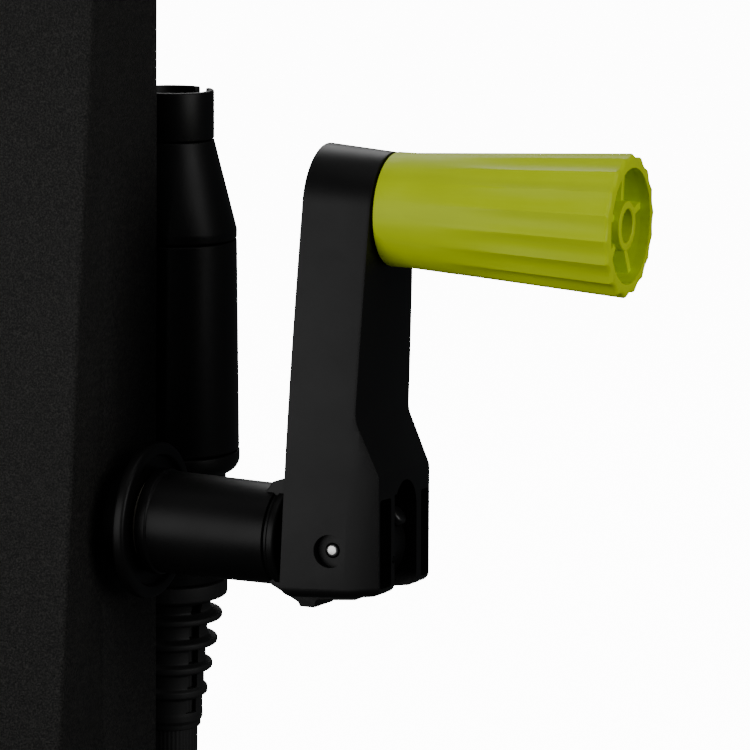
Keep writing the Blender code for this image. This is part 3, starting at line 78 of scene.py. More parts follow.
# the crank's own frame has X out of the post and Z along the arm
CRANK = Matrix.Translation(HUB) @ Matrix.Rotation(-LEAN, 4, "X")
PIN = CRANK.inverted() @ Vector(JOINTS["arm_fold"]["pos_m"])
GRIP = CRANK.inverted() @ Vector(JOINTS["grip_spin"]["pos_m"])
HOSE = Vector(JOINTS["cone_turn"]["pos_m"])
# hose and nozzle stand upright, their heights measured from the crank's axis
STAND = Matrix.Translation((HOSE.x, HOSE.y, HUB.z))
BODY_OF = {node: body for body, nodes in frame["record"]["behaviour"]["bodies"].items()
           for node in nodes}
SLOT_OF = {part["node"]: part["material_slot"] for part in frame["record"]["subparts"]}


# ---- settings that a user may change
class FinishSettings(PropertyGroup):
    coat: FloatVectorProperty(name="Coat", description="Colour of the post's textured coat",
                              subtype="COLOR", default=(0.0080, 0.0077, 0.0069))
    black: FloatVectorProperty(name="Black", description="Colour of the moulded black plastic",
                               subtype="COLOR", default=(0.0036, 0.0035, 0.0035))
    lime: FloatVectorProperty(name="Lime", description="Colour of the grip",
                              subtype="COLOR", default=(0.68, 0.86, 0.0))
    speckle: FloatProperty(name="Speckle", description="Size of the coat's grains",
                           default=0.55 * MM, unit="LENGTH")


class GripSettings(PropertyGroup):
    flutes: IntProperty(name="Flutes", description="Flutes round the grip", default=18)
    flute_depth: FloatProperty(name="Flute depth",
                               description="Depth of the flutes at the grip's end",
                               default=0.95 * MM, unit="LENGTH")
    flute_start: FloatProperty(name="Flute start", description="Where the flutes begin",
                               default=16 * MM, unit="LENGTH")
    flute_fade: FloatProperty(name="Flute fade",
                              description="Length in which the flutes reach their depth",
                              default=30 * MM, unit="LENGTH")
    spokes: IntProperty(name="Spokes", description="Spokes in the grip's mouth", default=5)
    spoke_thickness: FloatProperty(name="Spoke thickness", description="Thickness of a spoke",
                                   default=2.3 * MM, unit="LENGTH")


class CrankSettings(PropertyGroup):
    edge: FloatProperty(name="Edge", description="Radius of the arm's outer edges",
                        default=1.0 * MM, unit="LENGTH")
    web: FloatProperty(name="Web", description="Wall beside the housing's slots",
                       default=1.4 * MM, unit="LENGTH")


class HoseSettings(PropertyGroup):
    ribs: IntProperty(name="Ribs", description="Ribs of the bend protector", default=5)
    windows: IntProperty(name="Windows", default=4,
                         description="Windows round each valley of the bend protector")
    window_width: FloatProperty(name="Window width", description="Width of a window",
                                default=4 * MM, unit="LENGTH")


class StageSettings(PropertyGroup):
    floor: FloatVectorProperty(name="Floor", description="Colour of the floor",
                               subtype="COLOR", default=(0.93, 0.93, 0.93))
    key: FloatProperty(name="Key light", description="Power of the large soft light",
                       default=3.0, unit="POWER")
    fill: FloatProperty(name="Fill light", description="Power of the light overhead",
                        default=1.6, unit="POWER")
    side: FloatProperty(name="Side light", description="Power of the light on the crank's side",
                        default=5.5, unit="POWER")
    back: FloatProperty(name="Back light", description="Power of the light behind the post",
                        default=5, unit="POWER")
    azimuth: FloatProperty(name="Azimuth", description="Camera's place round the object",
                           default=math.radians(23.04), subtype="ANGLE")
    elevation: FloatProperty(name="Elevation", description="Camera's height above the horizon",
                             default=math.radians(10.73), subtype="ANGLE")
    roll: FloatProperty(name="Roll", description="Camera's turn about its own axis",
                        default=math.radians(0.74), subtype="ANGLE")
    lens: FloatProperty(name="Lens", description="Focal length on a 36 mm sensor, in millimetres",
                        default=177.01)
    distance: FloatProperty(name="Distance", description="Camera's distance from the crank",
                            default=1118.57 * MM, unit="LENGTH")


# ---- modelling by operators
def deselect():
    if bpy.context.object and bpy.context.object.mode != "OBJECT":
        bpy.ops.object.mode_set(mode="OBJECT")
    bpy.ops.object.select_all(action="DESELECT")


def activate(piece):
    deselect()
    piece.select_set(True)
    bpy.context.view_layer.objects.active = piece


def edit(piece):
    """Open a piece for editing, with all of it selected."""
    activate(piece)
    bpy.ops.object.mode_set(mode="EDIT")
    select_whole()


def select_whole():
    bpy.ops.mesh.select_all(action="SELECT")


def leave_edit():
    bpy.ops.object.mode_set(mode="OBJECT")


def turn_outwards():
    """Point all faces outwards, and leave edit mode."""
    select_whole()
    bpy.ops.mesh.normals_make_consistent(inside=False)
    leave_edit()


def settle(piece, matrix=None):
    """Set a piece in the frame that it was modelled in, with its place in its mesh."""
    activate(piece)
    if matrix is not None:
        piece.matrix_world = matrix @ piece.matrix_world
    bpy.ops.object.transform_apply(location=True, rotation=True, scale=True)


def apply_modifier(piece, kind, **values):
    activate(piece)
    made = piece.modifiers.new(kind.title(), kind)
    for key, value in values.items():
        setattr(made, key, value)
    bpy.ops.object.modifier_apply(modifier=made.name)


def round_edges(piece, radius, segments=3, angle=40):
    apply_modifier(piece, "BEVEL", width=radius, segments=segments, limit_method="ANGLE",
                   angle_limit=math.radians(angle), use_clamp_overlap=True)


def combine(piece, tool, operation="DIFFERENCE"):
    apply_modifier(piece, "BOOLEAN", operation=operation, object=tool, solver="EXACT")
    bpy.data.objects.remove(tool, do_unlink=True)


def in_metres(points):
    """Points given in millimetres, each with its own corner radius where it has one."""
    return [tuple(number * MM for number in point) for point in points]


def kept(points):
    """Points whose corners stay sharp when an outline is rounded."""
    return [(*point, 0) for point in points]


NEARLY_STRAIGHT = math.radians(4)
NEARLY_FOLDED = math.radians(2)
LONGEST_REACH = 0.48            # share of an edge that a rounded corner may take


def fillet(points, radius, steps=4):
    """Round the corners of a closed outline; a corner with a third number has its own radius."""
    rounded = []
    count = len(points)
    for index, point in enumerate(points):
        here = Vector(point[:2])
        before = Vector(points[index - 1][:2]) - here
        after = Vector(points[(index + 1) % count][:2]) - here
        wanted = point[2] if len(point) > 2 else radius
        turn = before.angle(after, 0)
        flat = math.pi - turn < NEARLY_STRAIGHT
        if wanted <= 0 or flat or turn < NEARLY_FOLDED or here.x == 0:
            rounded.append(tuple(here))
            continue
        half = turn / 2
        longest = (before.length * LONGEST_REACH, after.length * LONGEST_REACH)
        reach = min(wanted / math.tan(half), *longest)
        between = (before.normalized() + after.normalized()).normalized()
        centre = here + between * reach / math.cos(half)
        start = here + before.normalized() * reach - centre
        sweep = start.angle_signed(here + after.normalized() * reach - centre, 0)
        for step in range(steps + 1):
            spoke = start.copy()
            spoke.rotate(Matrix.Rotation(-sweep * step / steps, 2))
            rounded.append(tuple(centre + spoke))
    return rounded


def arc(centre_a, centre_b, radius, start, end, steps):
    """Points on an arc, angles in degrees."""
    turns = [math.radians(start + (end - start) * k / steps) for k in range(steps + 1)]
    return [(centre_a + radius * math.cos(t), centre_b + radius * math.sin(t)) for t in turns]


def draw(name, points):
    """Draw a closed outline, vertex by vertex; the new object stays in edit mode."""
    deselect()
    bpy.ops.mesh.primitive_plane_add(size=MM, location=(0, 0, 0))
    piece = bpy.context.object
    piece.name = piece.data.name = name
    edit(piece)
    bpy.ops.mesh.merge(type="CENTER")
    bpy.ops.transform.translate(value=points[0])
    for here, there in zip(points, points[1:]):
        step = [b - a for a, b in zip(here, there)]
        bpy.ops.mesh.extrude_region_move(TRANSFORM_OT_translate={"value": step})
    pick(piece, lambda vertex: len(vertex.link_edges) == 1)
    bpy.ops.mesh.edge_face_add()
    return piece


SPIN_AXES = {"X": (1, 0, 0), "Y": (0, 1, 0), "Z": (0, 0, 1)}
PROFILE_PLANE = {"X": lambda r, h: (h, 0, r), "Y": lambda r, h: (0, h, r),
                 "Z": lambda r, h: (r, 0, h)}
SWEEP_PLANE = {"X": lambda a, b, c: (c, a, b), "Y": lambda a, b, c: (a, c, b),
               "Z": lambda a, b, c: (a, b, c)}


def lathe(name, profile, axis="Z", centre=(0, 0, 0), steps=FINE):
    """Turn a closed outline of (radius, height) points about an axis."""
    piece = draw(name, [PROFILE_PLANE[axis](max(r, 0), h) for r, h in profile])
    select_whole()
    bpy.ops.mesh.spin(steps=steps, angle=math.tau, center=(0, 0, 0), axis=SPIN_AXES[axis])
    select_whole()
    bpy.ops.mesh.remove_doubles(threshold=MERGE)
    select_whole()
    bpy.ops.mesh.delete_loose()
    turn_outwards()
    piece.location = centre
    settle(piece)
    return piece


def slab(name, outline, low, high, across="Z"):
    """Fill an outline and extrude it from low to high along an axis."""
    spread = SWEEP_PLANE[across]
    piece = draw(name, [spread(a, b, low) for a, b in outline])
    select_whole()
    bpy.ops.mesh.edge_face_add()
    select_whole()
    rise = spread(0, 0, high - low)
    bpy.ops.mesh.extrude_region_move(TRANSFORM_OT_translate={"value": rise})
    turn_outwards()
    return piece


def block(name, low, high, radius=0.0, segments=3):
    """A box between two corners, with rounded edges."""
    low, high = Vector(low), Vector(high)
    deselect()
    bpy.ops.mesh.primitive_cube_add(size=1, location=(low + high) / 2, scale=high - low)
    piece = bpy.context.object
    piece.name = piece.data.name = name
    settle(piece)
    if radius > 0:
        edit(piece)
        bpy.ops.mesh.bevel(offset=radius, segments=segments, affect="EDGES")
        leave_edit()
    return piece


def copy_of(node, name):
    """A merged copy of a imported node, for a piece whose shape is already right."""
    source = frame["nodes"][node]
    piece = source.copy()
    piece.data = source.data.copy()
    piece.name = piece.data.name = name
    piece.parent = None
    for key in list(piece.keys()):
        del piece[key]
    bpy.context.scene.collection.objects.link(piece)
    edit(piece)
    bpy.ops.mesh.remove_doubles(threshold=SEAM)
    bpy.ops.mesh.customdata_custom_splitnormals_clear()
    select_whole()
    bpy.ops.mesh.dissolve_limited(angle_limit=math.radians(1))
    leave_edit()
    return piece


def hand_over(piece, node, finish=None, smooth=32):
    """Clear loose points, shade a finished piece, and let it stand for its node."""
    edit(piece)
    bpy.ops.mesh.delete_loose()
    activate(piece)
    bpy.ops.object.shade_smooth_by_angle(angle=math.radians(smooth))
    piece.data.materials.clear()
    piece.data.materials.append(FINISHES[finish or SLOT_OF[node]])
    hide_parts(node)
    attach(piece, BODY_OF[node])


# ---- finishes
def add(tree, kind, feeds=None, **values):
    """A node with its settings, and its sockets set or fed from other nodes' outputs."""
    made = tree.nodes.new(kind)
    for key, value in values.items():
        setattr(made, key, value)
    for socket, source in (feeds or {}).items():
        if isinstance(source, bpy.types.NodeSocket):
            tree.links.new(source, made.inputs[socket])
        else:
            made.inputs[socket].default_value = source
    return made


def new_group(name, inputs, outputs):
    tree = bpy.data.node_groups.new(name, "ShaderNodeTree")
    for label, value in inputs.items():
        made = tree.interface.new_socket(label, in_out="INPUT", socket_type="NodeSocketFloat")
        made.default_value = value
    for label in outputs:
        tree.interface.new_socket(label, in_out="OUTPUT", socket_type="NodeSocketFloat")
    return tree, tree.nodes.new("NodeGroupInput").outputs


def put_out(tree, **values):
    """End a group: join each value to the output of its name."""
    add(tree, "NodeGroupOutput", values)
    return tree


def labelled(values):
    """Sockets by their labels, from names with underscores."""
    return {label.replace("_", " "): value for label, value in values.items()}


def per_metre(tree, size):
    return compute(tree, "DIVIDE", 1.0, size)


def object_place(tree):
    return add(tree, "ShaderNodeTexCoord").outputs["Object"]


def compute(tree, operation, *values):
    return add(tree, "ShaderNodeMath", dict(enumerate(values)), operation=operation).outputs[0]


def remap(tree, value, **limits):
    """A value taken from one range to another."""
    return add(tree, "ShaderNodeMapRange", {"Value": value, **labelled(limits)}).outputs[0]


def noise(tree, place, scale, detail, roughness=0.5):
    """A soft random pattern over the surface."""
    return add(tree, "ShaderNodeTexNoise", {"Vector": place, "Scale": scale, "Detail": detail,
                                            "Roughness": roughness}).outputs["Fac"]


def make_grain_group():
    """Moulded surface: a fine grain, and a slow cloudy tone from cooling and handling."""
    tree, given = new_group("Moulded Grain", {"Grain Size": 0.5 * MM, "Tone Size": 18 * MM},
                            ("Grain", "Tone", "Scuff"))
    place = object_place(tree)
    grain = noise(tree, place, per_metre(tree, given["Grain Size"]), 3.0, 0.6)
    tone = noise(tree, place, per_metre(tree, given["Tone Size"]), 4.0, 0.55)
    turned = add(tree, "ShaderNodeMapping", {"Vector": place, "Rotation": (0.5, 0.9, 0.3),
                                             "Scale": (1.0, 14.0, 1.0)})
    streak = noise(tree, turned.outputs[0], 60.0, 2.0)
    scuff = remap(tree, streak, From_Min=0.66, From_Max=0.74)
    return put_out(tree, Grain=grain, Tone=tone, Scuff=scuff)


def make_fleck_group():
    """Textured coat: rounded grains of uneven height, with a few light ones."""
    tree, given = new_group("Textured Coat", {"Fleck Size": 0.5 * MM}, ("Height", "Fleck"))
    place = object_place(tree)
    scale = per_metre(tree, given["Fleck Size"])
    cells = add(tree, "ShaderNodeTexVoronoi", {"Vector": place, "Scale": scale},
                feature="SMOOTH_F1")
    grains = noise(tree, place, scale, 4.0, 0.7)
    return put_out(tree, Height=compute(tree, "SUBTRACT", grains, cells.outputs["Distance"]),
                   Fleck=remap(tree, grains, From_Min=0.44, From_Max=0.72))


def make_lines_group():
    """Fine lines along a piece, spread evenly round the Z axis of the vector that comes in."""
    tree, given = new_group("Lengthwise Lines", {"X": 0.0, "Y": 0.0, "Count": 40.0}, ("Line",))
    turn = compute(tree, "ARCTAN2", given["Y"], given["X"])
    wave = compute(tree, "SINE", compute(tree, "MULTIPLY", turn, given["Count"]))
    return put_out(tree, Line=remap(tree, wave, From_Min=-1.0))


def new_material(name, **sockets):
    made = bpy.data.materials.new(name)
    made.use_nodes = True
    shader = made.node_tree.nodes["Principled BSDF"]
    for label, value in labelled(sockets).items():
        shader.inputs[label].default_value = value
    made.diffuse_color = shader.inputs["Base Color"].default_value
    return made, made.node_tree, shader


def shades(colour, *factors):
    """Darker and lighter shades of a colour."""
    return [(*[min(channel * factor, 1.0) for channel in colour], 1.0) for factor in factors]


def vary_colour(tree, shader, mask, dark, light):
    blend = add(tree, "ShaderNodeMix", {"Factor": mask, "A": dark, "B": light}, data_type="RGBA")
    tree.links.new(blend.outputs["Result"], shader.inputs["Base Color"])


def vary_roughness(tree, shader, mask, low, high):
    spread = remap(tree, mask, To_Min=low, To_Max=high)
    tree.links.new(spread, shader.inputs["Roughness"])


def raise_surface(tree, shader, height, distance, strength=1.0):
    bump = add(tree, "ShaderNodeBump", {"Height": height, "Distance": distance,
                                        "Strength": strength})
    tree.links.new(bump.outputs[0], shader.inputs["Normal"])


def weigh(tree, first, share, second, other_share):
    """Two heights added, each by its share."""
    one = compute(tree, "MULTIPLY", first, share)
    return compute(tree, "MULTIPLY_ADD", second, other_share, one)


def effect(tree, group, **sizes):
    """Place a shared effect in a material, and give its outputs."""
    return add(tree, "ShaderNodeGroup", labelled(sizes), node_tree=group).outputs


def make_coat(finish, groups):
    made, tree, shader = new_material("Textured Coat", Specular_IOR_Level=0.24)
    flecks = effect(tree, groups["flecks"], Fleck_Size=finish.speckle)
    grain = effect(tree, groups["grain"])
    vary_colour(tree, shader, flecks["Fleck"], *shades(finish.coat, 0.3, 5.0))
    vary_roughness(tree, shader, grain["Tone"], 0.5, 0.66)
    raise_surface(tree, shader, flecks["Height"], 0.3 * MM, 0.9)
    return made


def make_moulded(name, colour, groups, rough=(0.36, 0.5), specular=0.2, grain_size=0.35 * MM,
                 depth=0.02 * MM, scuffs=0.12):
    made, tree, shader = new_material(name, Specular_IOR_Level=specular)
    grain = effect(tree, groups["grain"], Grain_Size=grain_size)
    vary_colour(tree, shader, grain["Tone"], *shades(colour, 0.8, 1.25))
    vary_roughness(tree, shader, weigh(tree, grain["Tone"], 1.0, grain["Scuff"], scuffs), *rough)
    raise_surface(tree, shader, grain["Grain"], depth, 0.6)
    return made


def make_lime(finish, groups):
    """Satin lime plastic with faint flow lines along the grip."""
    made, tree, shader = new_material("Lime Plastic", Specular_IOR_Level=0.2)
    grain = effect(tree, groups["grain"], Grain_Size=0.3 * MM)
    drawn = add(tree, "ShaderNodeMapping", {"Vector": object_place(tree),
                                            "Scale": (18.0, 260.0, 260.0)})
    flow = noise(tree, drawn.outputs[0], 1.0, 3.0)
    mask = weigh(tree, flow, 0.6, grain["Tone"], 0.4)
    vary_colour(tree, shader, mask, *shades(finish.lime, 0.82, 1.14))
    vary_roughness(tree, shader, grain["Tone"], 0.42, 0.54)
    raise_surface(tree, shader, weigh(tree, grain["Grain"], 0.6, flow, 0.8), 0.03 * MM, 0.5)
    return made


def make_hose_rubber(groups):
    """Matt hose cover with fine ribs along it, its colour painted darker in the grooves and lighter on the ribs'
    crests as painted shade.
    """
    made, tree, shader = new_material("Hose Cover", Specular_IOR_Level=0.3)
    centred = add(tree, "ShaderNodeMapping", {"Vector": object_place(tree),
                                              "Location": (-HOSE.x, -HOSE.y, 0)})
    parts = add(tree, "ShaderNodeSeparateXYZ", {0: centred.outputs[0]}).outputs
    rib_and_groove_shade = effect(tree, groups["lines"], X=parts["X"], Y=parts["Y"])["Line"]
    grain = effect(tree, groups["grain"])
    # painted shade: the colour follows the ribs' height, darker in the grooves and lighter on the crests
    vary_colour(tree, shader, rib_and_groove_shade, *shades(HOSE_COLOUR, 0.8, 1.3))
    vary_roughness(tree, shader, grain["Tone"], 0.5, 0.7)
    raise_surface(tree, shader, weigh(tree, rib_and_groove_shade, 1.0, grain["Grain"], 0.3), 0.12 * MM, 0.7)
    return made


def make_steel(groups):
    """Bright turned steel with a fine grain and a few dull patches."""
    made, tree, shader = new_material("Turned Steel", Metallic=1.0)
    grain = effect(tree, groups["grain"], Grain_Size=0.15 * MM, Tone_Size=4 * MM)
    vary_colour(tree, shader, grain["Tone"], DULL_STEEL, BRIGHT_STEEL)
    vary_roughness(tree, shader, grain["Grain"], 0.2, 0.42)
    raise_surface(tree, shader, grain["Grain"], 0.01 * MM, 0.5)
    return made


HOSE_COLOUR = (0.013, 0.013, 0.013)
RUBBER = (0.0115, 0.0115, 0.0115)
WAXY_PLASTIC = (0.42, 0.39, 0.32)
DARK_STEEL = (0.004, 0.004, 0.004)
DULL_STEEL, BRIGHT_STEEL = (0.50, 0.50, 0.49, 1), (0.74, 0.73, 0.71, 1)


def make_finishes():
    finish = bpy.context.scene.finish_settings
    groups = {"grain": make_grain_group(), "flecks": make_fleck_group(),
              "lines": make_lines_group()}
    return {
        "textured_black": make_coat(finish, groups),
        "black_plastic": make_moulded("Black Plastic", finish.black, groups),
        "lime_plastic": make_lime(finish, groups),
        "black_rubber": make_moulded("Black Rubber", RUBBER, groups, (0.5, 0.68), 0.3,
                                     0.6 * MM, 0.05 * MM),
        "hose_rubber": make_hose_rubber(groups),
        "steel": make_steel(groups),
        "blackened_steel": make_moulded("Blackened Steel", DARK_STEEL, groups, (0.3, 0.42), 0.5),
        "bearing_plastic": make_moulded("Bearing Plastic", WAXY_PLASTIC, groups, (0.4, 0.55), 0.5),
    }


FINISHES = {}


# ---- more modelling helpers
def turned(name, profile, matrix=None, axis="Z", radius=0.3 * MM, steps=FINE):
    """A turned piece from an outline in millimetres, its corners rounded, set in its own frame."""
    piece = lathe(name, fillet(in_metres(profile), radius), axis, steps=steps)
    settle(piece, matrix)
    return piece


def join(pieces):
    deselect()
    for piece in pieces:
        piece.select_set(True)
    bpy.context.view_layer.objects.active = pieces[0]
    bpy.ops.object.join()
    return bpy.context.object


def loft(name, rings):
    """Bridge rings of equal length, side by side, and close both ends."""
    drawn = []
    for index, ring in enumerate(rings):
        drawn.append(draw(name + "_" + str(index), ring))
        leave_edit()
    piece = join(drawn)
    piece.name = piece.data.name = name
    edit(piece)
    count = len(rings[0])
    for index in range(len(rings) - 1):
        pick(piece, lambda vertex: index * count <= vertex.index < (index + 2) * count)
        bpy.ops.mesh.bridge_edge_loops()
    for index in (0, len(rings) - 1):
        pick(piece, lambda vertex: index * count <= vertex.index < (index + 1) * count)
        bpy.ops.mesh.edge_face_add()
    turn_outwards()
    return piece


def pick(piece, test, mode="VERT"):
    """Select the vertices, or the edges or faces between them, that pass a test."""
    bpy.ops.mesh.select_mode(type=mode)
    bpy.ops.mesh.select_all(action="DESELECT")
    sketch = bmesh.from_edit_mesh(piece.data)
    sketch.verts.index_update()
    items = {"VERT": sketch.verts, "EDGE": sketch.edges, "FACE": sketch.faces}[mode]
    for item in items:
        item.select_set(bool(test(item)))
    if mode == "VERT":
        sketch.select_mode = {"VERT", "EDGE", "FACE"}
        sketch.select_flush_mode()
    bmesh.update_edit_mesh(piece.data)


def copies_round(piece, count, axis="X", start=0.0):
    """Copy a piece round an axis through the origin, and join the copies into one."""
    made = []
    for index in range(count):
        twin = piece.copy()
        twin.data = piece.data.copy()
        bpy.context.scene.collection.objects.link(twin)
        twin.matrix_world = Matrix.Rotation(start + math.tau * index / count, 4, axis)
        made.append(twin)
    bpy.data.objects.remove(piece, do_unlink=True)
    joined = join(made)
    settle(joined)
    return joined


def cut_block(piece, low, high, matrix=None, radius=0.0):
    tool = block("cutting_block", *in_metres((low, high)), radius * MM)
    if matrix is not None:
        settle(tool, matrix)
    combine(piece, tool)


def cut_bore(piece, steps, axis, centre, matrix=None, facets=SMALL):
    """Cut a stepped bore; each step is its radius, start and end in millimetres."""
    profile = [(0, steps[0][1])]
    for radius, low, high in steps:
        profile += [(radius, low), (radius, high)]
    profile.append((0, steps[-1][2]))
    tool = lathe("bore_tool", in_metres(profile), axis, *in_metres([centre]), facets)
    if matrix is not None:
        settle(tool, matrix)
    combine(piece, tool)


def stand_turned(node, name, profile, *options, **more):
    """Turn a piece from its outline, and let it stand for its node."""
    hand_over(turned(name, profile, *options, **more), node)


def refine(node, name, edge=0.3):
    """A copy of a node with its edges broken, for a piece whose shape is already right."""
    piece = copy_of(node, name)
    if edge > 0:
        round_edges(piece, edge * MM, 2)
    hand_over(piece, node)


# ---- the post
POST_WALL, POST_EDGE = 2.5, 1.6
BUSH_BORE, SCREW_HOLE = 12.8, 2.1


class CRANKUNIT_OT_post(Operator):
    """Model the tapered post with rounded upright edges, and refine its cap"""
    bl_idname = "crankunit.post"
    bl_label = "Post"

    def execute(self, context):
        low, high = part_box("post_shell")
        points = [vertex.co for vertex in frame["nodes"]["post_shell"].data.vertices]
        front_top = min(point.y for point in points if point.z > high.z - GAP)
        post = block("post_moulding", low, high)
        edit(post)
        pick(post, lambda v: v.co.z > high.z - GAP and v.co.y < low.y + GAP)
        bpy.ops.transform.translate(value=(0, front_top - low.y, 0))
        half_height = (high.z - low.z) / 2
        pick(post, lambda e: abs((e.verts[0].co - e.verts[1].co).z) > half_height, "EDGE")
        bpy.ops.mesh.bevel(offset=POST_EDGE * MM, segments=6, affect="EDGES")
        pick(post, lambda f: abs(f.normal.z) > 0.9, "FACE")
        bpy.ops.mesh.delete(type="FACE")
        leave_edit()
        apply_modifier(post, "SOLIDIFY", thickness=POST_WALL * MM, offset=-1)
        wide = POST_WALL + (high.x - low.x) / MM
        cut_bore(post, [(BUSH_BORE, -wide, wide)], "X", (0, HUB.y / MM, HUB.z / MM), facets=64)
        for node, axis in (("post_screw_1", "X"), ("holder_screw_1", "Y"),
                           ("holder_screw_2", "Y"), ("holder_screw_3", "Y")):
            middle = sum(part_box(node), Vector()) / 2 / MM
            reach = wide if axis == "X" else 4 * POST_WALL
            cut_bore(post, [(SCREW_HOLE, -reach, reach)], axis, middle, facets=24)
        round_edges(post, 0.25 * MM, 2)
        hand_over(post, "post_shell")
        refine("post_cap", "post_cap_moulding", 0.5)
        return {"FINISHED"}


NUT_FLUTES = 12
HOSE_RADIUS, HOSE_BORE, HOSE_PASSAGE = 8.5, 6.2, 8.8    # the passage is in the pieces round it


class CRANKUNIT_OT_foot(Operator):
    """Refine the foot with its hose port, the inlet, and the nut on the port"""
    bl_idname = "crankunit.foot"
    bl_label = "Foot and Port"

    def execute(self, context):
        refine("foot", "foot_moulding", 0.5)
        refine("inlet_spigot", "inlet_fitting", 0.2)
        nut = turned("port_nut", [(13.3, -142.7), (15.4, -142.7), (16.0, -142.1),
                                  (16.0, -131.67, 1), (10.0, -127, 0.6),
                                  (HOSE_PASSAGE, -127), (HOSE_PASSAGE, -133.7),
                                  (13.3, -133.7)], STAND)
        for side in range(NUT_FLUTES):
            turn = STAND @ Matrix.Rotation(math.tau * side / NUT_FLUTES, 4, "Z")
            cut_block(nut, (15.5, -1.3, -141.5), (17, 1.3, -132.6), turn)
        hand_over(nut, "hose_nut")
        return {"FINISHED"}


class CRANKUNIT_OT_holders(Operator):
    """Refine the clip and the saddle that hold the nozzle to the post"""
    bl_idname = "crankunit.holders"
    bl_label = "Holders"

    def execute(self, context):
        refine("holder_clip", "nozzle_clip", 0.35)
        refine("barrel_saddle", "nozzle_saddle", 0.35)
        return {"FINISHED"}


# ---- bearing, shaft and hub
class CRANKUNIT_OT_bearing(Operator):
    """Turn the dished flange that the crank's hub stands in, and the bearing behind the post"""
    bl_idname = "crankunit.bearing"
    bl_label = "Bearing"

    def execute(self, context):
        place = Matrix.Translation(HUB)
        stand_turned("bearing_flange", "flange_ring",
                     [(8.4, -6.5), (12.5, -6.5), (12.5, 0.3), (15.0, 0.3), (15.0, 8.0, 1),
                      (24.0, 8.0, 1.2), (24.0, 12.0, 1.3), (20.4, 12.0, 0.7), (19.6, 10.0, 0.6),
                      (8.4, 10.0)], place, "X")
        stand_turned("inner_bearing", "far_bearing",
                     [(8.4, -63.3), (19.0, -63.3), (19.0, -60.3), (12.5, -60.3), (12.5, -53.5),
                      (8.4, -53.5)], place, "X")
        return {"FINISHED"}


class CRANKUNIT_OT_drive(Operator):
    """Refine the shaft, its circlip, the drive dog and the washer"""
    bl_idname = "crankunit.drive"
    bl_label = "Drive"

    def execute(self, context):
        refine("drive_shaft", "turned_shaft", 0)
        refine("shaft_circlip", "shaft_ring", 0.15)
        refine("drive_dog", "drive_coupling", 0.3)
        refine("dog_screw", "coupling_screw", 0.15)
        refine("thrust_washer", "slip_washer", 0.15)
        return {"FINISHED"}


HUB_START, HUB_END = 11.8, 57.8
HUB_BASE, HUB_TIP = 16.2, 15.2
TONGUE_HALF, TONGUE_ROUND = 7.1, 12.5
SOCKET_HALF, SOCKET_DEPTH = 5.9, 34
PIN_HOLE = 2.3
CATCH_TURN = math.radians(40)


class CRANKUNIT_OT_hub(Operator):
    """Turn the hub's barrel, weld on the tongue that the arm folds on, and cut its bores"""
    bl_idname = "crankunit.hub"
    bl_label = "Crank Hub"

    def execute(self, context):
        barrel = [(0, HUB_START), (HUB_BASE, HUB_START, 0.5), (HUB_BASE, 15, 0.5),
                  (15.6, 15.6, 0.5), (HUB_TIP, 53.4, 0.3), (14.6, 53.9, 0.2), (14.6, 54.6, 0.2),
                  (HUB_TIP, 55.2, 0.3), (HUB_TIP, HUB_END, 1.6), (0, HUB_END)]
        hub = turned("hub_moulding", barrel, axis="X", radius=0)
        pin = PIN.x / MM
        tongue = [(47.8, 0), (49.8, -12), (54.2, -14.6, 1.5), (62.8, -18.7, 1.2),
                  (63.4, -19.9, 0.4), (68.2, -19.9, 0.6), (68.8, -17.5, 1),
                  (pin + 3.4, -16.1, 1.5), *kept(arc(pin, 0, TONGUE_ROUND, -60, 90, 40)),
                  (64.3, 14.5, 3), (58.8, 17.3, 2), (57.2, 18.3, 0.6), (52.8, 16.7, 1),
                  (49.8, 12)]
        blade = slab("tongue", fillet(in_metres(tongue), 0.3 * MM), -TONGUE_HALF * MM,
                     TONGUE_HALF * MM, "Y")
        round_edges(blade, 0.45 * MM, 3, 50)
        combine(hub, blade, "UNION")
        cut_block(hub, (HUB_START - 1, -SOCKET_HALF, -SOCKET_HALF),
                  (HUB_START + SOCKET_DEPTH, SOCKET_HALF, SOCKET_HALF))
        cut_bore(hub, [(PIN_HOLE, -15, 15)], "Y", (pin, 0, 0))
        cut_bore(hub, [(1.9, 0, 33)], "Y", (HUB_START + SOCKET_DEPTH / 2, 0, 0), facets=24)
        catch = Matrix.Translation((PIN.x, 3.6 * MM, 0)) @ Matrix.Rotation(-CATCH_TURN, 4, "Y")
        cut_bore(hub, [(1.8, 7.5, 25)], "X", (0, 0, 0), catch, 24)
        settle(hub, CRANK)
        hand_over(hub, "crank_hub")
        refine("hub_set_screw", "grub_screw", 0.1)
        knob = turned("catch_button", [(0, 7.8), (1.5, 7.8), (1.5, 12.8), (3.2, 12.8),
                                       (3.2, 15.2, 1.1), (0, 15.2)], CRANK @ catch, "X",
                      0.15 * MM, 40)
        hand_over(knob, "fold_catch", "blackened_steel")
        return {"FINISHED"}


# ---- the arm
ARM_NEAR, ARM_FACE, ARM_FAR = 63.3, 84.2, 93.8
ARM_HALF, ARM_HEAD, ARM_LENGTH, ARM_UNDER = 22.3, 18.3, 100.0, 15.2
ARM_DRAFT = 0.07
EXTRA_DRAFT = 0.8           # the housing's sides turn in past the upper arm's face
ARM_INSET = ARM_DRAFT * (ARM_FAR - ARM_NEAR)
RAMP_LOW, RAMP_HIGH = 23.0, 39.0
HOUSING_TOP_FACE, HOUSING_ROUND, INNER_ROUND = 92.2, 2.4, 4.2
OUT, OVER, BELOW, BESIDE = 110, 130, -30, 50    # clear of the arm's face, top, underside, sides
POCKET_LOW, POCKET_HIGH, POCKET_RIB, POCKETS = 22.6, 83.7, 2.4, 3
POCKET_WALL, POCKET_DEPTH, POCKET_DRAFT = 3.2, 15, 0.5
PIN_RECESS, RECESS_DEPTH = 4.9, 3.6


